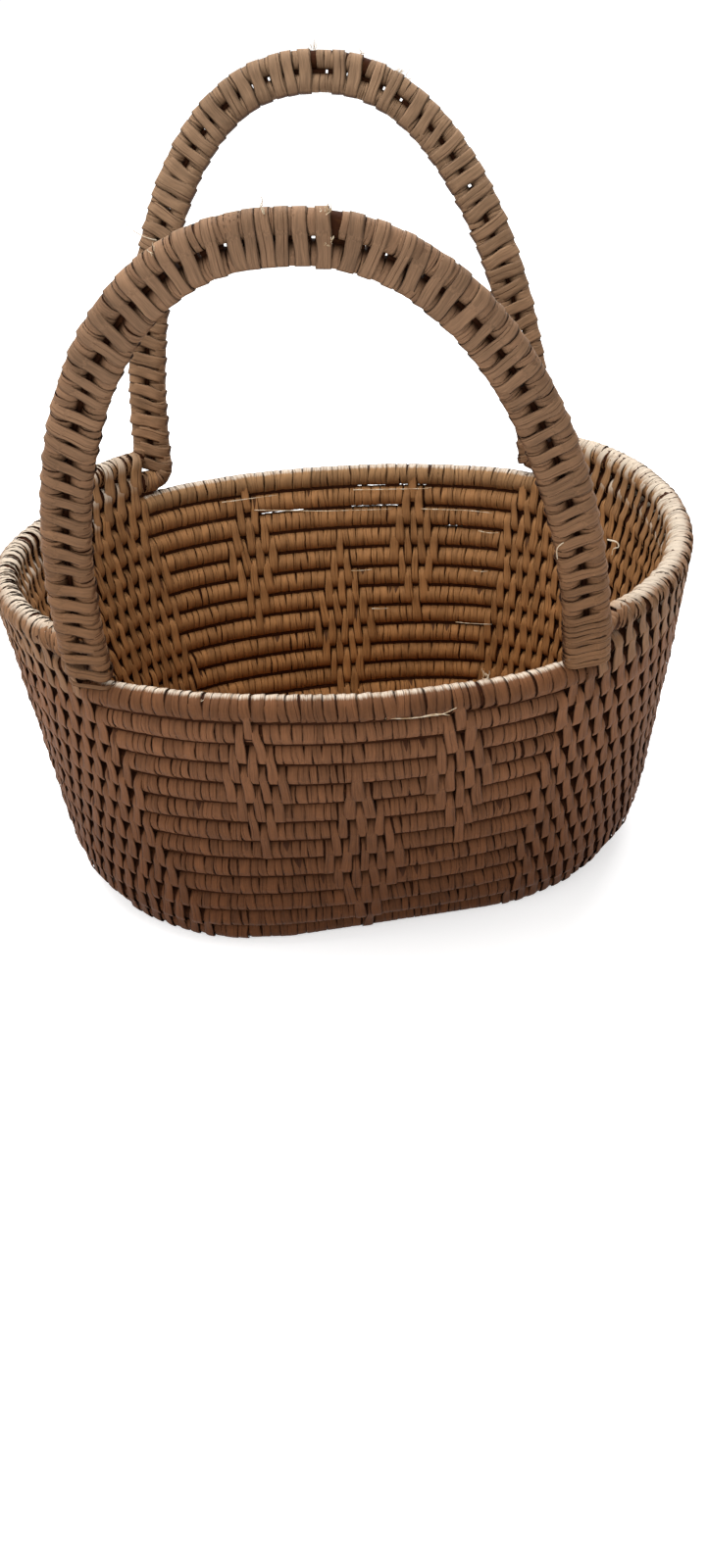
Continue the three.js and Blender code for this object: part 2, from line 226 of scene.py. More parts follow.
@dataclass(frozen=True)
class BasketForm:
    """Plan ovals and levels of the bundle's middle line, in metres. One level is one row."""

    coil_half: float = 5.72 * MM
    base_half: float = 5.75 * MM
    row_rise: float = 11.85 * MM
    top_level: int = 12
    base_pitch: float = 12.2 * MM
    rim_half_length: float = 160 * MM
    rim_half_width: float = 133.5 * MM
    rim_squareness: float = 4.3 * MM
    rim_flatness: float = 0.3
    foot_half_length: float = 146 * MM
    foot_half_width: float = 99 * MM
    foot_flatness: float = 0.002
    edge_tuck: float = 7.5 * MM
    tuck_rows: int = 2
    base_turn: float = math.radians(10)
    rim_tilt: float = 5 * MM
    half_ramp: float = math.radians(30)

    @property
    def rim_top(self) -> float:
        """Height of the rim's top."""
        return self.row_rise * self.top_level + 2 * self.coil_half

    def oval(self, length: Any, width: Any, squareness: Any, flatness: Any, phi: Any) -> tuple[Any, Any]:
        """Point of an oval whose outward normal stands at an angle.

        Args:
            length: Half length of the oval.
            width: Half width of the oval.
            squareness: How far the oval swells between its axes.
            flatness: Roundness of the long sides, small for straight ones.
            phi: Angle of the outward normal.

        Returns:
            The point's x and y.
        """
        cos, sin = np.cos(phi), np.sin(phi)
        stretch = (length - width) / (np.hypot(1, flatness) - flatness)
        bend = np.hypot(cos, flatness)
        reach = width + stretch * (bend - flatness) + squareness * np.sin(2 * phi) ** 2
        slip = -stretch * cos * sin / bend + 2 * squareness * np.sin(4 * phi)
        return reach * cos - slip * sin, reach * sin + slip * cos

    def tilted(self, points: np.ndarray) -> np.ndarray:
        """Lifts the front and sinks the back, more with height up to the rim.

        Args:
            points: One point per line.

        Returns:
            The moved points.
        """
        moved = points.copy()
        share = np.minimum(points[..., 2] / self.rim_top, 1)
        moved[..., 2] -= self.rim_tilt * share * points[..., 1] / self.rim_half_width
        return moved

    def untilted_coil(self, level: Any, phi: Any) -> np.ndarray:
        """Middle of the bundle at a level and normal angle, before the tilt.

        Args:
            level: 0 at the base edge, above it the wall's rows, below it the base's rounds.
            phi: Angle of the outward normal.

        Returns:
            One point per line.
        """
        level, phi = np.broadcast_arrays(np.asarray(level, float), np.asarray(phi, float))
        up = np.maximum(level, 0)
        share = up / self.top_level
        inset = self.edge_tuck * np.maximum(0, 1 - up / self.tuck_rows) ** 2
        inset = inset + self.base_pitch * np.maximum(0, -level)
        x, y = self.oval(
            blended(self.foot_half_length, self.rim_half_length, share) - inset,
            blended(self.foot_half_width, self.rim_half_width, share) - inset,
            self.rim_squareness * share,
            blended(self.foot_flatness, self.rim_flatness, np.sqrt(share)),
            phi,
        )
        turn = self.base_turn * np.maximum(0, 1 - share)
        cos, sin = np.cos(turn), np.sin(turn)
        rest = np.where(level < 0, self.base_half, self.coil_half)
        return np.stack([x * cos - y * sin, x * sin + y * cos, rest + self.row_rise * up], -1)

    def coil(self, level: Any, phi: Any) -> np.ndarray:
        """Middle of the bundle at a level and normal angle."""
        return self.tilted(self.untilted_coil(level, phi))

    def level_at(self, angle: np.ndarray) -> tuple[np.ndarray, np.ndarray]:
        """Level and normal angle of the winding bundle at its whole angle.

        Args:
            angle: Angle that grows by a full turn with each row.

        Returns:
            Level and normal angle.
        """
        turn = np.floor((angle - math.pi + self.half_ramp) / TURN + 1e-9)
        phi = angle - turn * TURN
        climb = smooth(phi, math.pi - self.half_ramp, math.pi + self.half_ramp)
        return np.maximum(0, turn + climb), phi


@dataclass
class RowLine:
    """Middle line of a bundle with its directions: outward and up, square to the line."""

    points: np.ndarray
    outward: np.ndarray
    up: np.ndarray
    half_up: np.ndarray
    half_out: float | np.ndarray

    def __post_init__(self) -> None:
        """Measures the length along the line."""
        self.along = reach_along(self.points)

    @classmethod
    def through(cls, points: np.ndarray, upwards: np.ndarray, half_out: float) -> "RowLine":
        """Makes a line from its points and the way to the next row above.

        Args:
            points: Middle line, one point per line.
            upwards: From each point to the row above, twice the half thickness upwards.
            half_out: Half thickness outwards.

        Returns:
            The line with its directions.
        """
        tangent = unit(np.gradient(points, axis=0))
        up = upwards - tangent * np.sum(upwards * tangent, -1, keepdims=True)
        length = np.linalg.norm(up, axis=1)
        up = up / length[:, None]
        return cls(points, np.cross(tangent, up), up, length / 2, half_out)

    def at(self, along: np.ndarray) -> tuple[np.ndarray, np.ndarray, np.ndarray, np.ndarray]:
        """Points, outward and up directions and half thickness at lengths along the line.

        Args:
            along: Lengths along the line.

        Returns:
            Points, outward and up directions and half thicknesses.
        """
        kept = (self.points, self.outward, self.up, self.half_up)
        points, outward, up, half_up = [read_off(along, self.along, values) for values in kept]
        return points, unit(outward), unit(up), half_up

    def bend_at(self, along: np.ndarray, reach: float = 1.5 * MM) -> np.ndarray:
        """Curvature of the line at lengths along it, measured over a short reach to each side.

        Args:
            along: Lengths along the line.
            reach: How far to each side.

        Returns:
            One curvature per length.
        """
        places = [read_off(along + step, self.along, self.points) for step in (-reach, 0, reach)]
        first, second = places[1] - places[0], places[2] - places[1]
        lengths = np.maximum(np.linalg.norm(first, axis=1) * np.linalg.norm(second, axis=1), 1e-12)
        return np.arccos(np.clip(np.sum(first * second, -1) / lengths, -1, 1)) / reach


# ---------------------------------------------------------------- node trees


class Shade:
    """A socket of a node tree that takes Python's operators."""

    def __init__(self, maker: "NodeMaker", socket: bpy.types.NodeSocket) -> None:
        """Keeps the socket and the maker that adds nodes."""
        self.maker, self.socket = maker, socket

    def math(self, operation: str, *values: Any) -> "Shade":
        """Adds a Math node for one operation."""
        return self.maker.add("ShaderNodeMath", {"operation": operation}, dict(enumerate(values)))

    def __add__(self, other: Any) -> "Shade":
        """Sum."""
        return self.math("ADD", self, other)

    __radd__ = __add__

    def __sub__(self, other: Any) -> "Shade":
        """Difference."""
        return self.math("SUBTRACT", self, other)

    def __rsub__(self, other: Any) -> "Shade":
        """Difference from a number."""
        return self.math("SUBTRACT", other, self)

    def __mul__(self, other: Any) -> "Shade":
        """Product."""
        return self.math("MULTIPLY", self, other)

    __rmul__ = __mul__

    def __abs__(self) -> "Shade":
        """Size without sign."""
        return self.math("ABSOLUTE", self)

    def fract(self) -> "Shade":
        """Part after the point."""
        return self.math("FRACT", self)

    def rise(self, low: float, high: float) -> "Shade":
        """Smooth rise from 0 at low to 1 at high."""
        settings = {"interpolation_type": "SMOOTHSTEP"}
        return self.maker.add("ShaderNodeMapRange", settings, {"Value": self, "From Min": low, "From Max": high})


class NodeMaker:
    """Adds nodes to one tree."""

    def __init__(self, tree: bpy.types.NodeTree) -> None:
        """Empties the tree and keeps it."""
        self.tree = tree
        tree.nodes.clear()

    def node(
        self, kind: str, settings: dict[str, Any] | None = None, sockets: dict[Any, Any] | None = None
    ) -> bpy.types.Node:
        """Adds a node: its settings first, then the values or links of its sockets.

        Args:
            kind: Type of the node.
            settings: Properties of the node by name.
            sockets: Values, or sockets to link from, by the input's name or number.

        Returns:
            The node.
        """
        made = self.tree.nodes.new(kind)
        for name, value in (settings or {}).items():
            setattr(made, name, value)
        for name, value in (sockets or {}).items():
            given = value.socket if isinstance(value, Shade) else value
            if isinstance(given, bpy.types.NodeSocket):
                self.tree.links.new(given, made.inputs[name])
            else:
                made.inputs[name].default_value = given
        return made

    def add(
        self,
        kind: str,
        settings: dict[str, Any] | None = None,
        sockets: dict[Any, Any] | None = None,
        output: Any = 0,
    ) -> Shade:
        """Adds a node and returns one of its outputs."""
        return Shade(self, self.node(kind, settings, sockets).outputs[output])

    def seen(self) -> Shade:
        """1 where the camera sees a surface, straight, in a reflection or through glass, and 0 for its light.

        Returns:
            The number, 0 or 1.
        """
        rays = self.node("ShaderNodeLightPath").outputs
        camera, mirrored, through = [Shade(self, rays[f"Is {n} Ray"]) for n in ("Camera", "Glossy", "Transmission")]
        return camera.math("MAXIMUM", camera.math("MAXIMUM", camera, mirrored), through)


# ---------------------------------------------------------------- strips


@dataclass
class Strips:
    """Places of many strips: middle, turn, size and tone of each."""

    places: np.ndarray
    turns: np.ndarray
    sizes: np.ndarray
    tones: np.ndarray

    @classmethod
    def facing(
        cls, places: np.ndarray, outward: np.ndarray, up: np.ndarray, sizes: np.ndarray, tones: np.ndarray
    ) -> "Strips":
        """Makes strips whose Y faces outward and whose Z points up.

        Args:
            places: Middle of each strip.
            outward: Rough way out of each.
            up: Way up of each.
            sizes: Width, half depth and half height of each.
            tones: Random number of each, from 0 to 1.

        Returns:
            The strips.
        """
        up = unit(up)
        outward = unit(outward - up * np.sum(outward * up, -1, keepdims=True))
        frames = np.stack([np.cross(outward, up), outward, up], -1)
        turns = np.array([tuple(Matrix(f.tolist()).to_quaternion()) for f in frames])
        return cls(places, turns.reshape(-1, 4), sizes, tones)


@dataclass(frozen=True)
class Wrapping:
    """How single wraps of uneven width cover a bundle. Shares are of a strip's width or of the bundle's thickness.

    Some strips are worn: they cover less than their place and leave a crack beside them.
    """

    width: float
    spread: float = 0.25
    worn: float = 0.07
    narrowest: float = 0.45
    widest: float = 1.7
    worn_cover: float = 0.8
    full_cover: float = 1.04
    bend_cover: float = 0.8
    swelling: float = 0.01
    height: float = 0.985

    def strips(self, line: RowLine, runs: list[tuple[float, float]], chance: np.random.Generator) -> Strips:
        """Fills runs of a line with strips.

        Args:
            line: The bundle's line.
            runs: Starts and ends of the runs, as lengths along the line.
            chance: Seeded source of chance.

        Returns:
            The strips.
        """
        middles, widths = [], []
        for start, end in runs:
            count = max(1, round((end - start) / self.width))
            shares = np.clip(chance.normal(1, self.spread, count), self.narrowest, self.widest)
            shares *= (end - start) / shares.sum()
            borders = start + np.concatenate([[0], np.cumsum(shares)])
            middles.append((borders[1:] + borders[:-1]) / 2)
            widths.append(shares)
        along, across = np.concatenate(middles), np.concatenate(widths)
        places, outward, up, half_up = line.at(along)
        swell = chance.normal(1, self.swelling, len(along))
        cover = np.where(chance.random(len(along)) < self.worn, self.worn_cover, self.full_cover)
        cover = cover * (1 + line.bend_at(along) * half_up * self.bend_cover)
        half_out = np.interp(along, line.along, np.broadcast_to(line.half_out, line.along.shape))
        sizes = np.stack([across * cover, half_out * swell, half_up * self.height * swell], -1)
        return Strips.facing(places, outward, up, sizes, chance.random(len(along)))


class Form(Enum):
    """Loops that a strip can form: round one bundle, round two rows, or round the two rods of a handle."""

    WRAP = "wrap"
    STITCH = "stitch"
    BAND = "band"


@dataclass(frozen=True)
class LoopSizes:
    """Sizes of a form of loop, in millimetres: halves, bow of its inner side and sink of the strip's edges."""

    half_out: float
    half_up: float
    waist: float
    edge: float


LOOPS = {
    Form.WRAP: LoopSizes(6.0, 6.0, 0.0, 0.16),
    Form.STITCH: LoopSizes(6.0, 12.0, 0.55, 0.27),
    Form.BAND: LoopSizes(5.6, 11.0, 0.3, 0.08),
}
VARIANTS = 4


@dataclass(frozen=True)
class StripLoop:
    """Closed loop of one strip, at size 1: X across the strip, Y outward, Z up. Measures in millimetres."""

    form: Form
    variant: int
    wrap_steps: int = 14
    cap_steps: int = 7
    side_steps: int = 3
    half_flat: float = 0.3
    sink: float = 0.06
    cup: float = 0.04
    wave: float = 0.05
    waves: float = 5
    drift: float = 0.07
    drifts: float = 2.2
    stitch_widths: tuple[float, float] = (1.08, 0.8)
    stitch_taper: tuple[float, float] = (-0.5, 0.9)

    def outline(self) -> tuple[np.ndarray, np.ndarray]:
        """Path of the loop in the outward and up plane, and how deep each point lies in a valley (0 to 1).

        Returns:
            The path, one point per line, and one depth per point.
        """
        sizes = LOOPS[self.form]
        if self.form is Form.WRAP:
            angle = np.arange(self.wrap_steps) * TURN / self.wrap_steps
            path = np.stack([np.cos(angle), np.sin(angle)], -1) * sizes.half_out
            return path, np.abs(np.sin(angle))
        straight = sizes.half_up - sizes.half_out
        cap = np.linspace(0, math.pi, self.cap_steps)
        top = np.stack([np.cos(cap) * sizes.half_out, straight + np.sin(cap) * sizes.half_out], -1)
        side = np.linspace(straight, -straight, self.side_steps + 2)[1:-1]
        inner = np.stack([sizes.waist * np.cos(side / straight * math.pi / 2) - sizes.half_out, side], -1)
        depth = np.concatenate([np.sin(cap), side * 0, np.sin(cap), side * 0])
        return np.concatenate([top, inner, -top, -inner]), depth

    def widths(self, up: np.ndarray) -> np.ndarray:
        """Width of the strip at each height, as a share of its full width. A stitch narrows upwards.

        Args:
            up: Heights on the loop, from -1 to 1.

        Returns:
            One share per height.
        """
        wave = 1 + self.wave * np.sin(self.waves * up + 2.1 * self.variant)
        if self.form is Form.STITCH:
            return wave * blended(*self.stitch_widths, smooth(up, *self.stitch_taper))
        return wave

    def build(self) -> bpy.types.Object:
        """Makes the closed band.

        Returns:
            An object that holds the loop at size 1, with its surface attributes.
        """
        path, depth = self.outline()
        sizes = LOOPS[self.form]
        along = unit(np.roll(path, -1, 0) - np.roll(path, 1, 0))
        normal = np.stack([along[:, 1], -along[:, 0]], -1)
        up = path[:, 1] / sizes.half_up
        widths = self.widths(up)
        drift = self.drift * np.sin(self.drifts * up + 1.7 * self.variant)
        reach = reach_along(path)
        mirrored = np.abs(reach - reach[len(path) // 4])
        flat = self.half_flat
        profile = ((-0.5, sizes.edge), (-flat, self.sink - self.cup), (flat, self.sink), (0.5, sizes.edge))
        made = bmesh.new()
        strip = made.verts.layers.float_vector.new("strip")
        around = made.verts.layers.float_vector.new("around")
        rings = []
        for i, point in enumerate(path):
            ring = []
            for share, sink in profile:
                out, high = point - normal[i] * sink
                vert = made.verts.new((share * widths[i] + drift[i], out / sizes.half_out, high / sizes.half_up))
                vert[strip] = (share, mirrored[i], 0)
                # The depth in a valley sets where the finishes paint shade.
                vert[around] = (point[0] / sizes.half_out, up[i], depth[i])
                ring.append(vert)
            rings.append(ring)
        skin(made, rings, closed=True)
        name = f"{self.form.value}_{self.variant}"
        return bpy.data.objects.new(name, finished(made, name))


class StripTree(NodeMaker):
    """Geometry Nodes tree that lays strips on points and a core along the edges between points, whose dark finish is
    painted shade.
    """

    SOCKETS = (
        ("Strip shapes", "NodeSocketCollection"),
        ("Strip finish", "NodeSocketMaterial"),
        ("Core finish", "NodeSocketMaterial"),
        ("Core half", "NodeSocketFloat"),
        ("Least lean", "NodeSocketVector"),
        ("Most lean", "NodeSocketVector"),
        ("Seed", "NodeSocketInt"),
    )
    CORE_SIDES = 10

    def __init__(self) -> None:
        """Builds the tree."""
        super().__init__(bpy.data.node_groups.new("lay_strips", "GeometryNodeTree"))
        face = self.tree.interface
        face.new_socket("Geometry", in_out="INPUT", socket_type="NodeSocketGeometry")
        for name, kind in self.SOCKETS:
            face.new_socket(name, in_out="INPUT", socket_type=kind)
        face.new_socket("Geometry", in_out="OUTPUT", socket_type="NodeSocketGeometry")
        given = self.node("NodeGroupInput").outputs
        strips, core = self.strips(given), self.core(given)
        joined = self.node("GeometryNodeJoinGeometry", {}, {0: core})
        self.tree.links.new(strips.socket, joined.inputs[0])
        self.node("NodeGroupOutput", {}, {0: joined.outputs[0]})

    def attribute(self, name: str, kind: str) -> Shade:
        """Reads a named attribute of the points."""
        return self.add("GeometryNodeInputNamedAttribute", {"data_type": kind}, {"Name": name}, "Attribute")

    def strips(self, given: bpy.types.NodeOutputs) -> Shade:
        """Instances a strip on each loose point and makes them real.

        Args:
            given: Outputs of the tree's input node.

        Returns:
            The strips' geometry.
        """
        equal = {"data_type": "INT", "operation": "EQUAL"}
        loose = self.add("FunctionNodeCompare", equal, {2: self.attribute("on_core", "INT"), 3: 0})
        draw, seed = "FunctionNodeRandomValue", given["Seed"]
        limits = {0: given["Least lean"], 1: given["Most lean"], "Seed": seed}
        lean = self.add(draw, {"data_type": "FLOAT_VECTOR"}, limits)
        pick = self.add(draw, {"data_type": "INT"}, {4: 0, 5: VARIANTS - 1, "Seed": seed}, 2)
        leaned = self.add("FunctionNodeEulerToRotation", {}, {0: lean})
        turned = {0: self.attribute("turned", "QUATERNION"), 1: leaned}
        laid = self.add(
            "GeometryNodeInstanceOnPoints",
            {},
            {
                "Points": given["Geometry"],
                "Selection": loose,
                "Instance": self.add(
                    "GeometryNodeCollectionInfo",
                    {},
                    {"Collection": given["Strip shapes"], "Separate Children": True, "Reset Children": True},
                ),
                "Pick Instance": True,
                "Instance Index": pick,
                "Rotation": self.add("FunctionNodeRotateRotation", {"rotation_space": "LOCAL"}, turned),
                "Scale": self.attribute("stretch", "FLOAT_VECTOR"),
            },
        )
        real = self.add("GeometryNodeRealizeInstances", {}, {0: laid})
        return self.add("GeometryNodeSetMaterial", {}, {0: real, "Material": given["Strip finish"]})

    def core(self, given: bpy.types.NodeOutputs) -> Shade:
        """Runs a round tube along the edges.

        Args:
            given: Outputs of the tree's input node.

        Returns:
            The core's geometry.
        """
        line = self.add("GeometryNodeMeshToCurve", {}, {0: given["Geometry"]})
        round_sizes = {"Resolution": self.CORE_SIDES, "Radius": given["Core half"]}
        ring = self.add("GeometryNodeCurvePrimitiveCircle", {"mode": "RADIUS"}, round_sizes)
        tube = {"Curve": line, "Profile Curve": ring, "Fill Caps": True}
        real = self.add("GeometryNodeCurveToMesh", {}, tube)
        return self.add("GeometryNodeSetMaterial", {}, {0: real, "Material": given["Core finish"]})


class StripShop:
    """Keeps the strip shapes and the tree, and turns places of strips into finished meshes."""

    def __init__(self, core_finish: bpy.types.Material) -> None:
        """Makes the tree and the shapes of every form.

        Args:
            core_finish: Finish of the bundles inside the strips.
        """
        self.core_finish = core_finish
        self.tree = StripTree().tree
        self.shapes: dict[Form, bpy.types.Collection] = {}
        for form in Form:
            self.shapes[form] = bpy.data.collections.new(f"{form.value}_shapes")
            for variant in range(VARIANTS):
                self.shapes[form].objects.link(StripLoop(form, variant).build())

    def points(self, strips: Strips, cores: list[np.ndarray]) -> bpy.types.Mesh:
        """Makes the mesh that the tree works on.

        Args:
            strips: Places of the strips, which become loose points.
            cores: Lines of points, which are joined by edges.

        Returns:
            The mesh with its attributes.
        """
        count = len(strips.places)
        places = np.concatenate([strips.places, *cores])
        edges, start = [], count
        for core in cores:
            edges += [(i, i + 1) for i in range(start, start + len(core) - 1)]
            start += len(core)
        mesh = bpy.data.meshes.new("places")
        mesh.from_pydata(places.tolist(), edges, [])
        rest = len(places) - count
        padded = {
            "turned": ("QUATERNION", "value", np.vstack([strips.turns, np.tile([1.0, 0, 0, 0], (rest, 1))])),
            "stretch": ("FLOAT_VECTOR", "vector", np.vstack([strips.sizes, np.ones((rest, 3))])),
            "tone": ("FLOAT", "value", np.concatenate([strips.tones, np.zeros(rest)])),
            "on_core": ("INT", "value", np.repeat([0, 1], [count, rest])),
        }
        for name, (kind, field_name, values) in padded.items():
            layer = mesh.attributes.new(name, kind, "POINT")
            layer.data.foreach_set(field_name, np.ascontiguousarray(values).ravel())
        return mesh

    def make(
        self,
        name: str,
        form: Form,
        strips: Strips,
        finish: bpy.types.Material,
        cores: list[np.ndarray],
        core_half: float,
        seed: int,
        lean: Lean = ((0, -0.05, -0.03), (0, 0.05, 0.03)),
    ) -> bpy.types.Object:
        """Lays the strips and turns the result into a plain mesh.

        Args:
            name: Name of the piece.
            form: Form of its strips.
            strips: Places of its strips.
            finish: Finish of the strips.
            cores: Middle lines of the bundles inside.
            core_half: Half thickness of the bundles inside.
            seed: Seed of the lean and of the choice of shape.
            lean: Least and most random lean about X, Y and Z.

        Returns:
            The piece, at the origin.
        """
        draft = placed(name + "_draft", self.points(strips, cores))
        modifier = draft.modifiers.new("lay_strips", "NODES")
        modifier.node_group = self.tree
        values = {
            "Strip shapes": self.shapes[form],
            "Strip finish": finish,
            "Core finish": self.core_finish,
            "Core half": core_half,
            "Least lean": lean[0],
            "Most lean": lean[1],
            "Seed": seed,
        }
        for item in self.tree.interface.items_tree:
            if item.in_out == "INPUT" and item.name in values:
                modifier[item.identifier] = values[item.name]
        graph = bpy.context.evaluated_depsgraph_get()
        mesh = bpy.data.meshes.new_from_object(draft.evaluated_get(graph))
        bpy.data.objects.remove(draft)
        self.press(mesh)
        mesh.name = name
        return placed(name, mesh)

    @staticmethod
    def press(mesh: bpy.types.Mesh) -> None:
        """Flattens what would stand out under the floor.

        Args:
            mesh: Mesh of the piece.
        """
        places = np.empty(3 * len(mesh.vertices), np.float32)
        mesh.vertices.foreach_get("co", places)
        np.maximum(places[2::3], 0, out=places[2::3])
        mesh.vertices.foreach_set("co", places)

    def clear(self) -> None:
        """Removes the shapes once every piece is made."""
        for kept in self.shapes.values():
            for shape in list(kept.objects):
                bpy.data.objects.remove(shape)
            bpy.data.collections.remove(kept)


# ---------------------------------------------------------------- finishes


class Painter(NodeMaker):
    """Builds the node tree of one material."""

    def __init__(self, name: str) -> None:
        """Makes an empty material.

        Args:
            name: Name of the material.
        """
        self.material = bpy.data.materials.new(name)
        self.material.use_nodes = True
        super().__init__(self.material.node_tree)

    def attribute(self, name: str, output: str) -> Shade:
        """Reads a named attribute of the surface."""
        return self.add("ShaderNodeAttribute", {"attribute_name": name}, {}, output)

    def place(self) -> Shade:
        """Point of the surface in the object's own coordinates."""
        return self.add("ShaderNodeTexCoord", {}, {}, "Object")

    def parts(self, vector: Shade) -> tuple[Shade, ...]:
        """Splits a vector into its three numbers."""
        split = self.node("ShaderNodeSeparateXYZ", {}, {0: vector})
        return tuple(Shade(self, output) for output in split.outputs)

    def vector(self, x: Any, y: Any, z: Any) -> Shade:
        """Joins three numbers into a vector."""
        return self.add("ShaderNodeCombineXYZ", {}, {0: x, 1: y, 2: z})

    def noise(self, at: Shade, scale: float = 1.0, detail: float = 2.0, roughness: float = 0.55) -> Shade:
        """Noise from 0 to 1."""
        sockets = {"Vector": at, "Scale": scale, "Detail": detail, "Roughness": roughness}
        return self.add("ShaderNodeTexNoise", {}, sockets)

    def mixed(self, share: Any, first: Any, second: Any) -> Shade:
        """Colour between two colours."""
        return self.add("ShaderNodeMix", {"data_type": "RGBA"}, {0: share, 6: first, 7: second}, 2)

    def scaled(self, colour: Any, by: Shade) -> Shade:
        """Colour made lighter or darker by a number."""
        plain = colour if isinstance(colour, Shade) else colour[:3]
        return self.add("ShaderNodeVectorMath", {"operation": "SCALE"}, {0: plain, "Scale": by})

    def bump(self, strength: float, distance: float, height: Shade) -> Shade:
        """Normal of a surface whose fine relief follows a height."""
        return self.add("ShaderNodeBump", {}, {"Strength": strength, "Distance": distance, "Height": height})

    def close(self, shader: Shade) -> bpy.types.Material:
        """Ends the tree in the surface output."""
        self.node("ShaderNodeOutputMaterial", {}, {"Surface": shader})
        return self.material

    def coat(self, sockets: dict[str, Any]) -> bpy.types.Material:
        """Ends the tree in a plain surface shader with these values or links of its sockets."""
        return self.close(self.add("ShaderNodeBsdfPrincipled", {}, sockets))


class Top(Enum):
    """What the upper side of a strip's loop is, which sets where shade and highlight are painted on it: in a valley,
    with painted shade above and below; a crest, with a painted highlight on top and painted shade below; open on
    one side, with painted shade on the other side; or lying flat, painted lit on top and in shade below and at its
    sides.
    """

    VALLEY = "valley"
    BLEACHED = "bleached"
    OPEN = "open"
    LYING = "lying"


@dataclass(frozen=True)
class StrawFinish:
    """Straw strip: its colours high and low on the basket, outside and inside, and its own streaks.

    The outside colours are painted in shade and the inside ones painted lit. The valleys get painted shade and,
    on some finishes, the crest a painted highlight.

    The tone is one random number per strip. Multiples of it give each strip its own draws.
    """

    name: str
    # Each colour pair is high then low; the outside is painted in shade and the inside painted lit.
    outside: Fade
    inside: Fade
    top: Top = Top.VALLEY
    low_at: float = 0.0
    high_at: float = 0.15
    streak_grain: tuple[float, float] = (3.6, 0.07)
    fibre_grain: tuple[float, float] = (11.0, 0.11)
    dullest: float = 0.86
    tone_strength: float = 0.28
    streak_strength: float = 0.6
    fibre_strength: float = 1.7
    mottle_grain: float = 60.0
    mottle_strength: float = 0.35
    # The painted highlight on the crest: its colour, its strength, where it starts on the loop, how near the ends it
    # reaches, and how far the crest is turned towards the back.
    bleached: Colour = (206, 195, 180)
    painted_highlight_share: float = 0.8
    painted_highlight_from: float = 0.85
    painted_highlight_reach: float = -100 * MM
    painted_highlight_fade: float = 12 * MM
    crest_turn: float = 0.31
    crest_noise: float = 0.3
    # Colour and strength of the painted shade in the valleys.
    valley: Colour = (60, 31, 13)
    valley_shade_depth: float = 0.88
    crack: Colour = (54, 27, 11)
    border: float = 0.5
    split_depth: float = 0.75
    knots: float = 0.0
    knot_depth: float = 0.85
    turnover: float = 0.25
    roughness: float = 0.5
    roughness_spread: float = 0.3
    relief: float = 0.8
    relief_depth: float = 0.3 * MM
    gloss: float = 0.12

    def valley_shade(self, outward: Shade, up: Shade, depth: Shade) -> Shade:
        """Share of each place that gets painted shade, where it lies between two rows, two rods or two base rounds.

        Args:
            outward: Way out on the loop, -1 to 1.
            up: Height on it, -1 to 1.
            depth: Depth in a valley.

        Returns:
            The share.
        """
        if self.top is Top.BLEACHED:
            return (up * -1.0).rise(0.6, 1.0) * depth.rise(0.8, 1.0)
        if self.top is Top.OPEN:
            return (up * -1.0).rise(0.55, 1.0) * depth.rise(0.6, 0.95)
        return (abs(outward) if self.top is Top.LYING else depth).rise(0.8, 1.0)

    def base(self, p: Painter, facing: Shade, height: Shade) -> Shade:
        """Colour of the strips by the side that they face, painted lit inside and in shade outside, and by their
        height on the basket.

        Args:
            p: Builder of the tree.
            facing: Above 0 outside, below it inside.
            height: 0 low and 1 high.

        Returns:
            The colour.
        """
        inside, outside = [p.mixed(height, linear(low), linear(high)) for high, low in (self.inside, self.outside)]
        return p.mixed(facing.rise(-self.turnover, self.turnover), inside, outside)

    def worn(self, outward: Shade, up: Shade, x: Shade, fibre: Shade) -> Shade:
        """Share of the crest of a row that gets a painted highlight, on the side turned up and a little to the back.

        Args:
            outward: Way out on the loop, -1 to 1.
            up: Height on it, -1 to 1.
            x: Place along the basket.
            fibre: Noise of the fibres.

        Returns:
            The share.
        """
        # Painted highlight: lighter where the loop faces up and a little back, as if lit from above and behind.
        crest = up * 0.95 - outward * self.crest_turn + (fibre - 0.5) * self.crest_noise
        worn = crest.rise(self.painted_highlight_from, 1.02) * self.painted_highlight_share
        return worn * abs(x).rise(self.painted_highlight_reach - self.painted_highlight_fade, self.painted_highlight_reach + self.painted_highlight_fade)

    def material(self) -> bpy.types.Material:
        """Builds the node tree.

        Returns:
            The material.
        """
        p = Painter(self.name)
        across, along, _ = p.parts(p.attribute("strip", "Vector"))
        outward, up, depth = p.parts(p.attribute("around", "Vector"))
        tone = p.attribute("tone", "Fac")
        x, _, z = p.parts(p.place())
        wide, long = self.streak_grain
        streak = p.noise(p.vector(across * wide, along * long, tone * 61.0), roughness=0.5)
        wide, long = self.fibre_grain
        fibre = p.noise(p.vector(across * wide, along * long, tone * 37.0 + 9.0))
        mottle = p.noise(p.place(), self.mottle_grain)
        light = self.dullest + tone * self.tone_strength + (streak - 0.5) * self.streak_strength
        light = light + (fibre - 0.5) * (self.streak_strength * self.fibre_strength)
        light = light + (mottle - 0.5) * self.mottle_strength
        # Lit and shaded copies: a lying base round is painted lit on top and in shade below, other loops lit inside
        # and in shade outside.
        facing = up * -1.0 if self.top is Top.LYING else outward
        colour = p.scaled(self.base(p, facing, z.rise(self.low_at, self.high_at)), light)
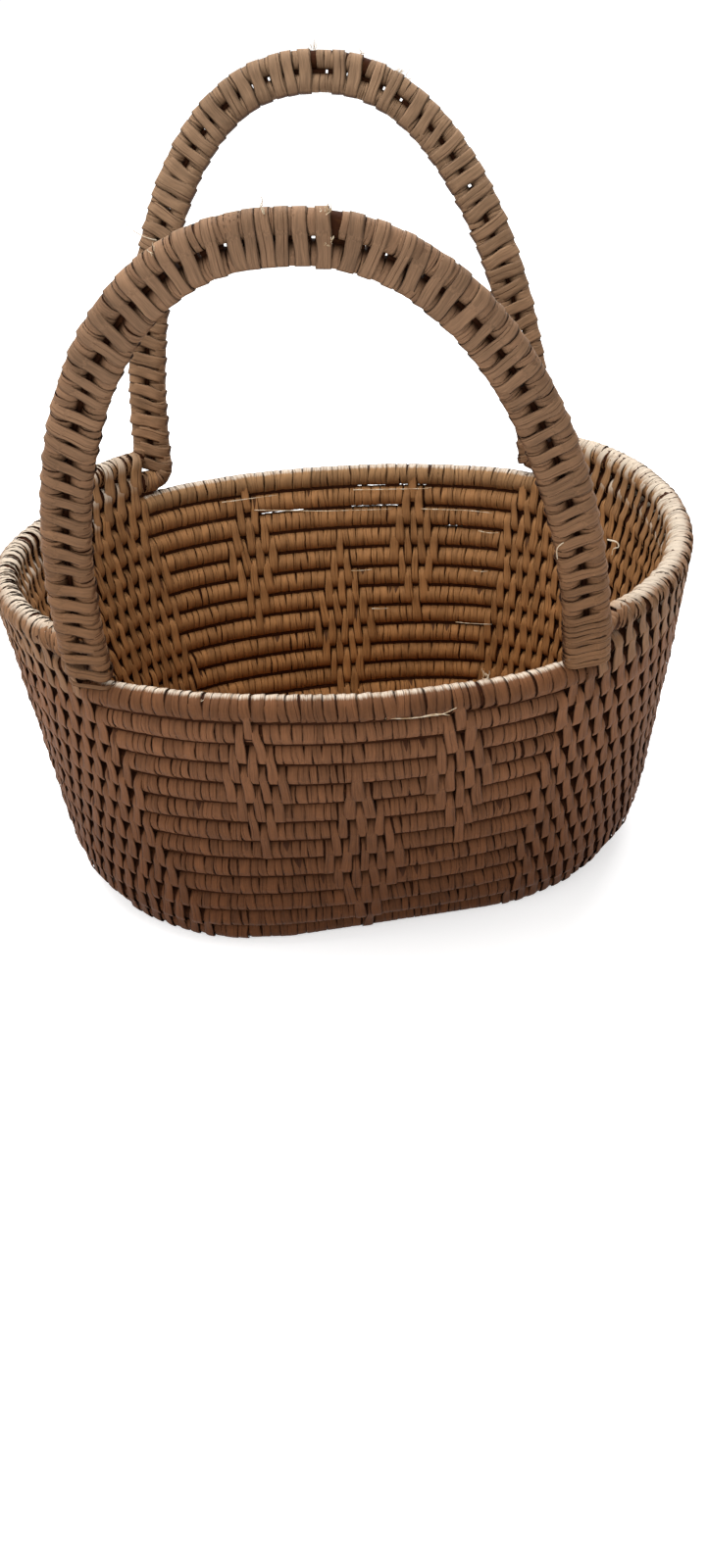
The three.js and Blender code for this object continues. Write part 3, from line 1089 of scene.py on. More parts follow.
        # Painted highlight on the crest.
        if self.top is Top.BLEACHED:
            pale = p.scaled(linear(self.bleached), 0.6 + fibre * 0.75)
            colour = p.mixed(self.worn(outward, up, x, fibre), colour, pale)
        dark = linear(self.crack)
        side = abs(across).rise(0.41, 0.5) * (tone * 7.0).fract().rise(0.35, 0.8)
        colour = p.mixed(side * self.border, colour, dark)
        seam = abs(across - (tone * 9.0).fract() * 0.6 + 0.3)
        split = (1 - seam.rise(0.012, 0.045)) * (tone * 5.0).fract().rise(0.5, 0.6)
        colour = p.mixed(split * streak.rise(0.35, 0.55) * self.split_depth, colour, dark)
        if self.knots > 0:
            notch = (up * 1.3 - abs(across + 0.06) * 2.6).rise(0.22, 0.42)
            notch = notch * (tone * 13.0).fract().rise(1 - self.knots, 1.01 - self.knots)
            colour = p.mixed(notch * self.knot_depth, colour, dark)
        # Painted shade in the valleys between rows, rods and base rounds.
        colour = p.mixed(self.valley_shade(outward, up, depth) * self.valley_shade_depth, colour, linear(self.valley))
        relief = fibre * 0.9 + streak * 0.7 - side * 0.4 - split * 0.6
        sockets = {
            "Base Color": colour,
            "Roughness": self.roughness + fibre * self.roughness_spread,
            "Normal": p.bump(self.relief, self.relief_depth, relief),
            "Specular IOR Level": self.gloss,
        }
        return p.coat(sockets)


@dataclass(frozen=True)
class CoreFinish:
    """Grass bundle under the strips, and the tubes in the valleys, painted dark as the shade in which they show."""

    name: str = "bundle_core"
    # Painted shade: the bundle is kept dark for the gaps in which it shows.
    colour: Colour = (54, 27, 12)
    stalk: Colour = (84, 52, 28)
    grain: float = 420.0
    roughness: float = 0.7
    roughness_spread: float = 0.2
    relief: float = 0.6
    relief_depth: float = 0.5 * MM
    gloss: float = 0.08

    def material(self) -> bpy.types.Material:
        """Builds the node tree.

        Returns:
            The material.
        """
        p = Painter(self.name)
        stalks = p.noise(p.place(), self.grain)
        sockets = {
            "Base Color": p.mixed(stalks.rise(0.55, 0.8), linear(self.colour), linear(self.stalk)),
            "Roughness": self.roughness + stalks * self.roughness_spread,
            "Normal": p.bump(self.relief, self.relief_depth, stalks),
            "Specular IOR Level": self.gloss,
        }
        return p.coat(sockets)


@dataclass(frozen=True)
class LooseFinish:
    """Pale dry straw of the loose ends."""

    name: str = "loose_straw"
    colour: Colour = (176, 146, 108)
    pale: Colour = (220, 204, 178)
    grain: float = 260.0

    def material(self) -> bpy.types.Material:
        """Builds the node tree.

        Returns:
            The material.
        """
        p = Painter(self.name)
        change = p.noise(p.place(), self.grain, detail=1.0)
        colour = p.mixed(change.rise(0.35, 0.65), linear(self.colour), linear(self.pale))
        return p.coat({"Base Color": colour, "Roughness": 0.6})


class Finishes:
    """All finishes of the basket, made once."""

    def __init__(self) -> None:
        """Makes the materials."""
        # The rim's crest gets a painted highlight; on the raised ends it covers more of the loop, from 120 mm out.
        rim = {"top": Top.BLEACHED, "low_at": 0.13, "high_at": 0.17}
        handle = {"top": Top.OPEN, "low_at": 0.17, "high_at": 0.34}
        end = {"bleached": (206, 193, 175), "painted_highlight_from": 0.48, "painted_highlight_reach": 120 * MM, "border": 0.9}
        # Outside and inside colours, each high then low, are lit and shaded copies of one straw: the outside painted
        # in shade and the inside painted lit; for the base, the underside in shade and the top lit.
        colours = (
            ("wall", ((120, 80, 53), (92, 55, 31)), ((152, 109, 69), (151, 104, 60)), {"knots": 0.045}),
            ("rim", ((109, 71, 45), (102, 66, 41)), ((154, 118, 82), (142, 106, 70)), rim),
            ("rim_end", ((134, 99, 71), (126, 90, 62)), ((152, 114, 78), (150, 108, 70)), rim | end),
            ("handle", ((134, 102, 77), (120, 85, 58)), ((135, 107, 82), (130, 98, 71)), handle),
            ("binding", ((136, 105, 80), (124, 89, 61)), ((137, 109, 84), (132, 100, 73)), handle),
            ("base", ((100, 66, 42), (94, 61, 38)), ((136, 92, 52), (132, 88, 48)), {"top": Top.LYING}),
        )
        made = [StrawFinish(f"{n}_straw", outside, inside, **more).material() for n, outside, inside, more in colours]
        self.wall, self.rim, self.rim_end, self.handle, self.binding, self.base = made
        self.core = CoreFinish().material()
        self.loose = LooseFinish().material()


# ---------------------------------------------------------------- base


@dataclass
class Base:
    """Flat base of wrapped rounds, from the hairpin in the middle outwards."""

    form: BasketForm
    rounds: int = 7
    wrapping: Wrapping = Wrapping(4.4 * MM)
    half_out: float = 6.45 * MM
    half_up: float = 5.72 * MM
    core_half: float = 5.6 * MM
    steps: int = 1200
    core_step: int = 6

    def build(self, shop: StripShop, finishes: Finishes) -> None:
        """Makes one piece per round.

        Args:
            shop: Maker of strip pieces.
            finishes: Finishes of the basket.
        """
        phi = np.linspace(math.pi, math.pi + TURN, self.steps)
        upwards = np.tile([0, 0, 2 * self.half_up], (self.steps, 1))
        for number in range(1, self.rounds + 1):
            points = self.form.coil(number - 1 - self.rounds, phi)
            line = RowLine.through(points, upwards, self.half_out)
            strips = self.wrapping.strips(line, [(0, line.along[-1])], Seed.BASE.chance(number))
            cores = [thinned(points, self.core_step)]
            name = f"base_row_{number:02d}"
            piece = shop.make(name, Form.WRAP, strips, finishes.base, cores, self.core_half, number)
            dress(piece, "basket", "base_straw", f"base_coil_{number:02d}")


# ---------------------------------------------------------------- wall and ends


@dataclass(frozen=True)
class Diamond:
    """Diamond of long stitches on a long side of the wall."""

    side: int
    x: float
    first_pair: int
    widest: int

    def half_columns(self, pair: int) -> int:
        """Reach of the diamond to each side in columns at a pair of rows, below 0 where it has none."""
        step = pair - self.first_pair
        return min(step, 2 * self.widest - 2 - step)


@dataclass(frozen=True)
class FieldEdge:
    """Edge between the stitched field of an end and the smooth rows of a long side."""

    side: int
    end: int
    top_x: float
    bottom_x: float


@dataclass(frozen=True)
class Stitching:
    """How long stitches span two rows: their random sizes, and how they lean towards the ends in front.

    Under the rim, between the ends, they lie closer, so that the rim stands over them.
    """

    half_out: float = 6.35 * MM
    width: float = 1.2
    width_spread: float = 0.1
    width_limits: tuple[float, float] = (0.95, 1.45)
    out_spread: float = 0.018
    under_rim_out: float = 5.75 * MM
    under_rim_loss: float = 0.6 * MM
    plumbness: float = 0.85
    slants: tuple[tuple[int, float, float], ...] = ((1, 0.16, 110 * MM), (-1, -0.13, 90 * MM))
    slant_start: float = 30 * MM
    slant_back: float = 60 * MM
    lean: Lean = ((0, -0.08, -0.05), (0, 0.08, 0.05))
    end_lean: Lean = ((0, 0.0, -0.05), (0, 0.3, 0.05))

    def slant(self, places: np.ndarray) -> np.ndarray:
        """Slant of the stitches at places, one per line.

        Args:
            places: One point per line.

        Returns:
            One slant per place.
        """
        x, y = places[:, 0], places[:, 1]
        parts = [most * smooth(end * x, self.slant_start, full) for end, most, full in self.slants]
        return np.sum(parts, 0) * (y < self.slant_back)


@dataclass
class Wall:
    """Rows of the wall, the rim and the raised ends, and the long stitches that hold rows together in pairs.

    Turn -1 is the lowest row and turn 11 the rim. Turns 12 and 13 are only at the ends. Angles are in degrees.
    The anchors of a turn are its start, tip, front, tip, back and end.
    """

    form: BasketForm
    columns: int = 221
    half_out: float = 6.0 * MM
    wrapping: Wrapping = Wrapping(4.1 * MM)
    rim_wrapping: Wrapping = Wrapping(4.9 * MM)
    end_wrapping: Wrapping = Wrapping(4.1 * MM, worn=0.4)
    stitching: Stitching = Stitching()
    first_turn: int = -1
    reference_turn: int = 6
    rim_turn: int = 11
    last_turn: int = 13
    anchors: tuple[int, ...] = (150, 180, 270, 360, 450, 510)
    turn_margin: int = 32
    turn_steps: int = 3400
    seam_angle: int = 330
    core_half: float = 5.45 * MM
    core_step: float = 4 * MM
    thread_half: float = 2.7 * MM
    sleeve: float = 3.5 * MM
    gathering: float = 2.2
    wave: float = 0.16 * MM
    wave_spread: float = 0.3
    waves: tuple[int, ...] = (5, 9, 14, 23)
    first_row_start: float = 0.85
    first_stitch: float = 2.2
    pairs: int = 12
    row_lean: Lean = ((0, -0.05, -0.03), (0, 0.08, 0.03))
    rim_lean: Lean = ((0, -0.06, 0.0), (0, 0.1, 0.14))
    end_lean: Lean = ((0, 0.0, 0.2), (0, 0.2, 0.5))
    slits: tuple[tuple[int, float, float], ...] = (
        (10, 8 * MM, 20 * MM),
        (10, 31 * MM, 46 * MM),
        (9, -48 * MM, -26 * MM),
        (9, 2 * MM, 27 * MM),
        (8, 52 * MM, 64 * MM),
    )
    parting: tuple[float, float] = (107.4 * MM, 118.0 * MM)
    diamonds: tuple[Diamond, ...] = (
        Diamond(-1, -41 * MM, 1, 4),
        Diamond(-1, 50 * MM, 1, 4),
        Diamond(-1, 7 * MM, 4, 5),
        Diamond(1, -57 * MM, 1, 4),
        Diamond(1, 43 * MM, 1, 4),
        Diamond(1, -7 * MM, 4, 5),
    )
    edges: tuple[FieldEdge, ...] = (
        FieldEdge(-1, -1, -107 * MM, -70 * MM),
        FieldEdge(-1, 1, 97 * MM, 72 * MM),
        FieldEdge(1, -1, -115 * MM, -88 * MM),
        FieldEdge(1, 1, 97 * MM, 68 * MM),
    )

    def __post_init__(self) -> None:
        """Measures every turn of the bundle, the one that sets the columns first."""
        self.lines: dict[int, RowLine] = {}
        self.column_along: dict[int, np.ndarray] = {}
        self.column_place: dict[int, np.ndarray] = {}
        stations = self.reference = self.measured(self.reference_turn)[1]
        self.numbers = np.round((stations - stations[0]) / (stations[-1] - stations[0]) * self.columns)
        for turn in range(self.first_turn, self.last_turn + 1):
            line, stations = self.measured(turn)
            self.lines[turn] = line
            self.column_along[turn] = self.spread_columns(stations)
            middles = (self.column_along[turn][1:] + self.column_along[turn][:-1]) / 2
            self.column_place[turn] = line.at(middles)[0]

    def measured(self, turn: int) -> tuple[RowLine, np.ndarray]:
        """Line of a turn, and the lengths along it at the anchors.

        Args:
            turn: The turn.

        Returns:
            The line, and one length per anchor.
        """
        start, end = self.anchors[0] - self.turn_margin, self.anchors[-1] + self.turn_margin
        angle = np.radians(np.linspace(start, end, self.turn_steps)) + turn * TURN
        highest = math.radians(self.anchors[-1]) + turn * TURN - 1e-6 if turn == self.last_turn else math.inf
        level = self.form.level_at(np.minimum(angle, highest))[0]
        phi = angle - turn * TURN
        points = self.form.coil(level, phi)
        line = RowLine.through(points, self.form.coil(level + 1, phi) - points, self.half_out)
        line.points = points + line.outward * self.wander(turn, angle)[:, None]
        polar = np.unwrap(np.arctan2(points[:, 1], points[:, 0]))
        polar += TURN * round((math.radians(self.seam_angle) - polar.mean()) / TURN)
        return line, np.interp(np.radians(self.anchors), polar, line.along)

    def spread_columns(self, stations: np.ndarray) -> np.ndarray:
        """Lengths along a turn at which its columns part.

        The columns keep one width near the middle of the long sides and gather towards the tips of the ends.

        Args:
            stations: Lengths along the turn at the anchors.

        Returns:
            One length per border between columns.
        """
        number = np.arange(self.columns + 1)
        even = np.interp(number, self.numbers, stations)
        for tip, middle in ((1, 2), (3, 2), (3, 4), (5, 4)):
            share = (number - self.numbers[middle]) / (self.numbers[tip] - self.numbers[middle])
            inside = (share >= 0) & (share <= 1)
            plain = self.reference[tip] - self.reference[middle]
            excess = stations[tip] - stations[middle] - plain
            reach = plain * share + excess * np.abs(share) ** self.gathering
            even[inside] = stations[middle] + reach[inside]
        return even

    def wander(self, turn: int, angle: np.ndarray) -> np.ndarray:
        """Small hand-made waves of a row, outwards.

        Args:
            turn: The turn.
            angle: Angles along it.

        Returns:
            One distance per angle.
        """
        chance = Seed.WANDER.chance(turn)
        waves = [np.sin(angle * n + chance.random() * TURN) * chance.normal(1, self.wave_spread) for n in self.waves]
        return np.sum(waves, 0) * self.wave

    def present(self, turn: int) -> np.ndarray:
        """Columns at which a turn exists.

        Args:
            turn: The turn.

        Returns:
            One truth value per column.
        """
        if turn == self.first_turn:
            return np.arange(self.columns) >= self.numbers[1] * self.first_row_start
        if turn <= self.rim_turn:
            return np.ones(self.columns, bool)
        return np.abs(self.column_place[turn][:, 0]) > self.parting[turn - self.rim_turn - 1]

    def stitched(self, turn: int) -> np.ndarray:
        """Columns at which a long stitch holds a turn and the one above together.

        Args:
            turn: The lower turn of the pair.

        Returns:
            One truth value per column.
        """
        pair = self.rim_turn - turn
        number = np.arange(self.columns)
        place = (self.column_place[turn] + self.column_place[turn + 1]) / 2
        x, y = place[:, 0], place[:, 1]
        share = np.clip(pair / self.pairs, 0, 1)
        wanted = np.zeros(self.columns, bool)
        for edge in self.edges:
            limit = blended(edge.top_x, edge.bottom_x, share)
            wanted |= (y * edge.side > 0) & ((x - limit) * edge.end > 0)
        for diamond in self.diamonds:
            reach = diamond.half_columns(pair)
            if reach < 0:
                continue
            middle_turn = self.rim_turn - diamond.first_pair - diamond.widest + 1
            around = self.column_place[middle_turn]
            miss = np.abs(around[:, 0] - diamond.x) + (around[:, 1] * diamond.side < 0)
            centre = int(np.argmin(miss))
            centre += (self.rim_turn - diamond.first_pair + centre) % 2
            wanted |= np.abs(number - centre) <= reach
        brick = (turn + number) % 2 == 0
        both = self.present(turn) & self.present(turn + 1)
        if turn == self.first_turn:
            both &= number > self.numbers[1] * self.first_stitch
        return wanted & brick & both

    def stitches(self, turn: int, taken: np.ndarray, chance: np.random.Generator) -> Strips:
        """Places the long stitches of one pair of turns.

        Args:
            turn: The lower turn.
            taken: Columns with a stitch.
            chance: Seeded source of chance.

        Returns:
            The strips.
        """
        sizes = self.stitching
        which = np.flatnonzero(taken)
        ends = []
        for row in (turn, turn + 1):
            middles = (self.column_along[row][which] + self.column_along[row][which + 1]) / 2
            ends.append(self.lines[row].at(middles))
        pitch = self.column_along[turn][which + 1] - self.column_along[turn][which]
        low, high = ends[0][0], ends[1][0]
        half = np.linalg.norm(high - low, axis=1) / 2 + ends[0][3]
        widths = pitch * np.clip(chance.normal(sizes.width, sizes.width_spread, len(which)), *sizes.width_limits)
        out = sizes.half_out * chance.normal(1, sizes.out_spread, len(which))
        under_rim = (turn == self.rim_turn - 1) & (np.abs((low + high)[:, 0] / 2) < self.parting[0])
        out = np.where(under_rim, sizes.under_rim_out, out)
        half = np.where(under_rim, half - sizes.under_rim_loss, half)
        up = blended(unit(high - low), unit(ends[0][2] + ends[1][2]), sizes.plumbness)
        outward = ends[0][1] + ends[1][1]
        up += unit(np.cross(outward, up)) * sizes.slant(low)[:, None]
        stretch = np.stack([widths, out, half], -1)
        return Strips.facing((low + high) / 2, outward, up, stretch, chance.random(len(which)))

    def build(self, shop: StripShop, finishes: Finishes) -> None:
        """Makes the rows and the long stitches.

        Args:
            shop: Maker of strip pieces.
            finishes: Finishes of the basket.
        """
        taken = {turn: self.stitched(turn) for turn in range(self.first_turn, self.last_turn)}
        nothing = np.zeros(self.columns, bool)
        for turn in range(self.first_turn, self.last_turn + 1):
            free = self.present(turn) & ~taken.get(turn, nothing) & ~taken.get(turn - 1, nothing)
            if turn >= self.rim_turn:
                above = self.present(turn + 1) if turn < self.last_turn else nothing
                free |= self.present(turn) & ~above
            self.build_row(turn, free, shop, finishes)
        for turn, columns in taken.items():
            strips = self.stitches(turn, columns, Seed.STITCH.chance(turn))
            upper = turn >= self.rim_turn
            piece = shop.make(
                f"long_stitches_{turn + 2:02d}",
                Form.STITCH,
                strips,
                finishes.rim_end if upper else finishes.wall,
                self.shade_threads(turn),
                self.thread_half,
                Seed.STITCH_SHAPES + turn,
                self.stitching.end_lean if upper else self.stitching.lean,
            )
            dress(piece, "basket", "rim_straw" if upper else "wall_straw")

    def shade_threads(self, turn: int) -> list[np.ndarray]:
        """Lines of dark tubes in the valley above a turn, which stand for the shade there, parted at the slits that
        let light through.

        Args:
            turn: The lower turn.

        Returns:
            Lines of points.
        """
        filled = self.present(turn) & (self.present(turn + 1) | (turn == self.first_turn))
        place = (self.column_place[turn] + self.column_place[turn + 1]) / 2
        for slit_turn, low, high in self.slits:
            if slit_turn == turn:
                filled &= ~((place[:, 1] > 0) & (place[:, 0] > low) & (place[:, 0] < high))
        return [place[start:end] for start, end in stretches(filled) if end - start > 1]

    def windows(self, turn: int) -> dict[str, np.ndarray]:
        """Names of the rows of a turn, with the columns that each has.

        Args:
            turn: The turn.

        Returns:
            One truth value per column for each name.
        """
        present = self.present(turn)
        if turn < self.rim_turn:
            return {f"wall_coil_{turn + 2:02d}": present}
        if turn == self.rim_turn:
            return {"rim_coil": present}
        number = np.arange(self.columns)
        first, last = number <= self.numbers[2], number >= self.numbers[4]
        names = ("left_end_lower_coil", "right_end_lower_coil", "left_end_upper_coil")
        if turn == self.last_turn:
            names = ("left_end_upper_coil", "right_end_upper_coil", "left_end_tail_coil")
        return {name: present & part for name, part in zip(names, (first, ~first & ~last, last))}

    def build_row(self, turn: int, free: np.ndarray, shop: StripShop, finishes: Finishes) -> None:
        """Makes the single wraps and the core of each row of a turn.

        Args:
            turn: The turn.
            free: Columns without long stitches.
            shop: Maker of strip pieces.
            finishes: Finishes of the basket.
        """
        line, borders = self.lines[turn], self.column_along[turn]
        wrapping, lean, finish, slot, inset = self.wrapping, self.row_lean, finishes.wall, "wall_straw", 0.0
        if turn == self.rim_turn:
            wrapping, lean, finish, slot = self.rim_wrapping, self.rim_lean, finishes.rim, "rim_straw"
        elif turn > self.rim_turn:
            wrapping, lean, finish, slot = self.end_wrapping, self.end_lean, finishes.rim_end, "rim_straw"
            inset = self.sleeve
        for node, columns in self.windows(turn).items():
            chance = Seed.ROW.chance(10 * turn + len(node))
            runs = [(borders[start], borders[end]) for start, end in stretches(free & columns)]
            strips = wrapping.strips(line, runs, chance)
            cores = []
            for start, end in stretches(columns):
                count = max(3, round((borders[end] - borders[start]) / self.core_step))
                along = np.linspace(borders[start] + inset, borders[end] - inset, count)
                cores.append(line.at(along)[0])
            name = node.replace("_coil", "_row")
            if node == "left_end_upper_coil":
                name += "_end" if turn == self.last_turn else "_start"
            seed = Seed.ROW_SHAPES + turn
            piece = shop.make(name, Form.WRAP, strips, finish, cores, self.core_half, seed, lean)
            dress(piece, "basket", slot, node)


# ---------------------------------------------------------------- handles


@dataclass
class Handle:
    """Arched handle of two wrapped rods side by side, held together by bands.

    Rod 0 is the inner one and rod 1 the outer one. An end is 1 at the right and -1 at the left.
    """

    form: BasketForm
    name: str
    side: int
    rise: float
    blend_start: float
    band_width: float
    band_period: float
    band_low: float
    dense_right: float
    dense_left: float
    worn_at: tuple[float, ...]
    half_span: float = 111.7 * MM
    rod_pitch: float = 10.6 * MM
    rod_half: float = 4.7 * MM
    foot_half: float = 5.75 * MM
    foot_swelling: tuple[float, float] = (3 * MM, 14 * MM)
    rod_step: float = 2 * MM
    foot_range: tuple[float, float] = (math.radians(30), math.radians(85))
    halvings: int = 40
    lean: float = math.radians(11)
    crown_shift: float = -8 * MM
    leg_power: float = 2.24
    crown_power: float = 2.05
    arch_start: tuple[float, float] = (0.09, 0.12)
    arch_steps: int = 150
    foot_bend: float = 7 * MM
    bend_steps: int = 8
    bend_step: float = 0.5 * MM
    approach_turn: float = math.radians(9)
    outer_approach: float = 0.6
    wrapping: Wrapping = Wrapping(3.7 * MM, spread=0.18)
    core_half: float = 4.25 * MM
    core_step: int = 2
    band_out: float = 5.02 * MM
    band_slant: float = 0.22
    band_start: float = 0.5 * MM
    band_margin: float = 0.02
    band_steps: int = 1600
    leg_steps: int = 39
    band_lean: Lean = ((0, -0.07, -0.04), (0, 0.07, 0.04))
    width_spread: float = 0.12
    period_spread: float = 0.1
    size_spread: float = 0.012
    dense_width: float = 2.9 * MM
    dense_pitch: float = 1.01
    crown_length: float = 9 * MM
    overlap: float = 9.0 * MM
    worn_length: float = 3.6 * MM
    worn_depth: float = 60 * MM
    pinholes: int = 34
    pinhole_margin: int = 60
    pinhole_length: int = 4
    thread_half: float = 1.5 * MM
    thread_step: int = 8
    least_thread: int = 13
    blend_y: float = 125 * MM
    blend_length: float = 32 * MM

    def __post_init__(self) -> None:
        """Finds the foot of the handle on the raised end row."""
        level = self.form.top_level + 1
        self.foot = self.form.untilted_coil(level, self.side * self.foot_angle(level, self.leg_span(0)))

    def leg_span(self, rod: float) -> float:
        """Distance of a rod's leg from the middle."""
        return self.half_span - self.rod_pitch * (1 - rod)

    def foot_angle(self, level: float, span: float) -> float:
        """Normal angle at which a row of the ends reaches a distance from the middle, found by halving.

        Args:
            level: Level of the row.
            span: Distance from the middle.

        Returns:
            The angle.
        """
        low, high = self.foot_range
        for _ in range(self.halvings):
            middle = (low + high) / 2
            low, high = (middle, high) if self.form.untilted_coil(level, middle)[0] > span else (low, middle)
        return low

    def in_plane(self, across: Any, height: Any) -> np.ndarray:
        """Point of the handle's plane from its distance along X and its height along the lean.

        Args:
            across: Distances along X.
            height: Heights along the lean.

        Returns:
            One point per line.
        """
        across, height = np.broadcast_arrays(np.asarray(across, float), np.asarray(height, float))
        x = across + self.crown_shift * height / self.rise
        y = self.foot[1] + self.side * math.sin(self.lean) * height
        return np.stack([x, y, self.foot[2] + math.cos(self.lean) * height], -1)

    def outer_arch(self, angle: np.ndarray) -> np.ndarray:
        """Points of the outer rod's arch in its plane, across and up."""
        across = self.half_span * np.sign(np.cos(angle)) * np.abs(np.cos(angle)) ** (2 / self.leg_power)
        return np.stack([across, self.rise * np.abs(np.sin(angle)) ** (2 / self.crown_power)], -1)

    def arch(self, rod: float, angle: np.ndarray) -> np.ndarray:
        """Points of the arch of a rod, from 0 at the right foot to pi at the left one.

        Args:
            rod: The rod.
            angle: Angles along the arch.

        Returns:
            One point per line.
        """
        along = unit(self.outer_arch(angle + 1e-4) - self.outer_arch(angle - 1e-4))
        inwards = np.stack([-along[:, 1], along[:, 0]], -1) * self.rod_pitch * (1 - rod)
        flat = self.outer_arch(angle) + inwards
        return self.in_plane(flat[:, 0], flat[:, 1])

    def foot_points(self, rod: int, end: int) -> np.ndarray:
        """Points of a rod from its end row through the bend into the leg.

        Args:
            rod: The rod.
            end: The end.

        Returns:
            One point per line, from the row to the leg.
        """
        level = self.form.top_level + 1 + rod
        angle = self.foot_angle(level, self.leg_span(rod)) - self.approach_turn * (1 + rod * self.outer_approach)
        turned = self.side * (angle - np.array([2.0, 1.0, 0.0]) * self.approach_turn / 2)
        row = self.form.untilted_coil(level, turned if end > 0 else math.pi - turned)
        corner = self.in_plane(end * self.leg_span(rod), rod * self.form.row_rise / math.cos(self.lean))
        upwards = unit(self.in_plane(0, 1.0) - self.in_plane(0, 0.0))
        along = unit(corner - row[2])
        turn = math.acos(float(np.dot(along, upwards)))
        inward = unit(upwards - along * np.dot(along, upwards))
        start = corner - along * self.foot_bend * math.tan(turn / 2)
        centre = start + inward * self.foot_bend
        steps = np.linspace(0, turn, self.bend_steps)[:, None]
        bend = centre - inward * self.foot_bend * np.cos(steps) + along * self.foot_bend * np.sin(steps)
        whole = self.evened(np.concatenate([row, bend]), self.bend_step)
        return whole[np.abs(whole[:, 0]) < self.leg_span(rod) + self.rod_half + self.overlap]

    def rod_points(self, rod: int) -> np.ndarray:
        """Whole line of a rod from the right end row over the arch to the left one.

        Args:
            rod: The rod.

        Returns:
            One point per line.
        """
        lowest = self.arch_start[rod]
        middle = self.arch(rod, np.linspace(lowest, math.pi - lowest, self.arch_steps))
        whole = np.concatenate([self.foot_points(rod, 1), middle, self.foot_points(rod, -1)[::-1]])
        return self.evened(self.form.tilted(whole), self.rod_step)

    @staticmethod
    def evened(points: np.ndarray, step: float) -> np.ndarray:
        """Returns points at an even distance along a line."""
        along = reach_along(points)
        return read_off(np.linspace(0, along[-1], round(along[-1] / step)), along, points)

    @property
    def plane_normal(self) -> np.ndarray:
        """Way that the handle's outer face looks."""
        return np.array([0, self.side * math.cos(self.lean), -math.sin(self.lean)])

    def rod_line(self, rod: int) -> RowLine:
        """Line of a rod whose up direction points away from the valley between the rods.

        Args:
            rod: The rod.

        Returns:
            The line.
        """
        points = self.rod_points(rod)
        tangent = unit(np.gradient(points, axis=0))
        normal = np.tile(self.plane_normal, (len(points), 1))
        away = np.cross(tangent, normal)
        away *= np.sign(away[len(points) // 2, 2])
        upwards = away if rod == 1 else -away
        reach = np.arange(len(points)) * self.rod_step
        inside = 1 - smooth(np.minimum(reach, reach[-1] - reach), *self.foot_swelling)
        half = blended(self.rod_half, self.foot_half, inside)
        return RowLine(points, normal, unit(upwards), half, half)

    def paired_lines(self) -> tuple[np.ndarray, np.ndarray]:
        """Lines that the bands follow, straight at the legs, of the inner and outer rod; their points are abreast.

        Returns:
            The inner and the outer line, each with one point per line.
        """
        angle = np.linspace(self.band_margin, math.pi - self.band_margin, self.band_steps)
        steps = np.arange(self.leg_steps)[:, None] / self.leg_steps
        whole = []
        for rod in (0, 1):
            arch = self.arch(rod, angle)
            right, left = [self.in_plane(end * self.leg_span(rod), self.band_low) for end in (1, -1)]
            above = arch[arch[:, 2] > self.foot[2]]
            legs = blended(right, arch[0], steps), blended(left, arch[-1], steps)[::-1]
            whole.append(self.form.tilted(np.concatenate([legs[0], above, legs[1]])))
        count = min(len(line) for line in whole)
        inner, outer = [read_off(np.linspace(0, len(w) - 1, count), np.arange(len(w)), w) for w in whole]
        return inner, outer

    def shade_threads(self, chance: np.random.Generator) -> list[np.ndarray]:
        """Lines of dark tubes between the rods, which stand for the shade there, parted by pinholes that let light
        through.

        Args:
            chance: Seeded source of chance.

        Returns:
            Lines of points.
        """
        inner, outer = self.paired_lines()
        middle = (inner + outer) / 2
        margin = self.pinhole_margin
        parts = np.split(middle, np.sort(chance.integers(margin, len(middle) - margin, self.pinholes)))
        return [thinned(p[: -self.pinhole_length], self.thread_step) for p in parts if len(p) > self.least_thread]

    def worn_lengths(self, points: np.ndarray, along: np.ndarray) -> list[float]:
        """Lengths along a line of the handle at which its upper part is worn bare."""
        miss = np.where(points[:, 2] > points[:, 2].max() - self.worn_depth, 0.0, 1.0)
        return [along[int(np.argmin(miss + np.abs(points[:, 0] - x)))] for x in self.worn_at]

    def bands(self, chance: np.random.Generator) -> Strips:
        """Places the bands round both rods: close together at the feet and the crown, else in even steps.

        Args:
            chance: Seeded source of chance.

        Returns:
            The strips.
        """
        inner, outer = self.paired_lines()
        middle = (inner + outer) / 2
        along = reach_along(middle)
        total, crown = along[-1], along[int(np.argmax(middle[:, 2]))]
        worn = self.worn_lengths(middle, along)
        stations, widths = [], []
        at = self.band_start
        while at < total:
            foot = at < self.dense_right or at > total - self.dense_left
            top = abs(at - crown) < self.crown_length
            width = self.dense_width if foot else self.band_width
            width *= chance.normal(1, self.width_spread)
            for bare in worn:
                if at - self.worn_length / 2 < bare < at + width + self.worn_length / 2:
                    at = bare + self.worn_length / 2
            stations.append(at + width / 2)
            widths.append(width)
            if foot or top:
                at += width * self.dense_pitch
            else:
                at += max(width, self.band_period * chance.normal(1, self.period_spread))
        stations, widths = np.array(stations), np.array(widths)
        keep = stations < total
        stations, widths = stations[keep], widths[keep]
        low, high = read_off(stations, along, inner), read_off(stations, along, outer)
        places = (low + high) / 2
        half = np.linalg.norm(high - low, axis=1) / 2 + self.band_out
        sizes = np.stack([widths, np.full(len(widths), self.band_out), half], -1)
        sizes[:, 1:] *= chance.normal(1, self.size_spread, (len(widths), 1))
        normal = np.tile(self.plane_normal, (len(widths), 1))
        tangent = unit(read_off(stations, along, np.gradient(middle, axis=0)))
        up = unit(high - low) + tangent * (self.band_slant * places[:, :1] / self.half_span)
        return Strips.facing(places, normal, up, sizes, chance.random(len(widths)))

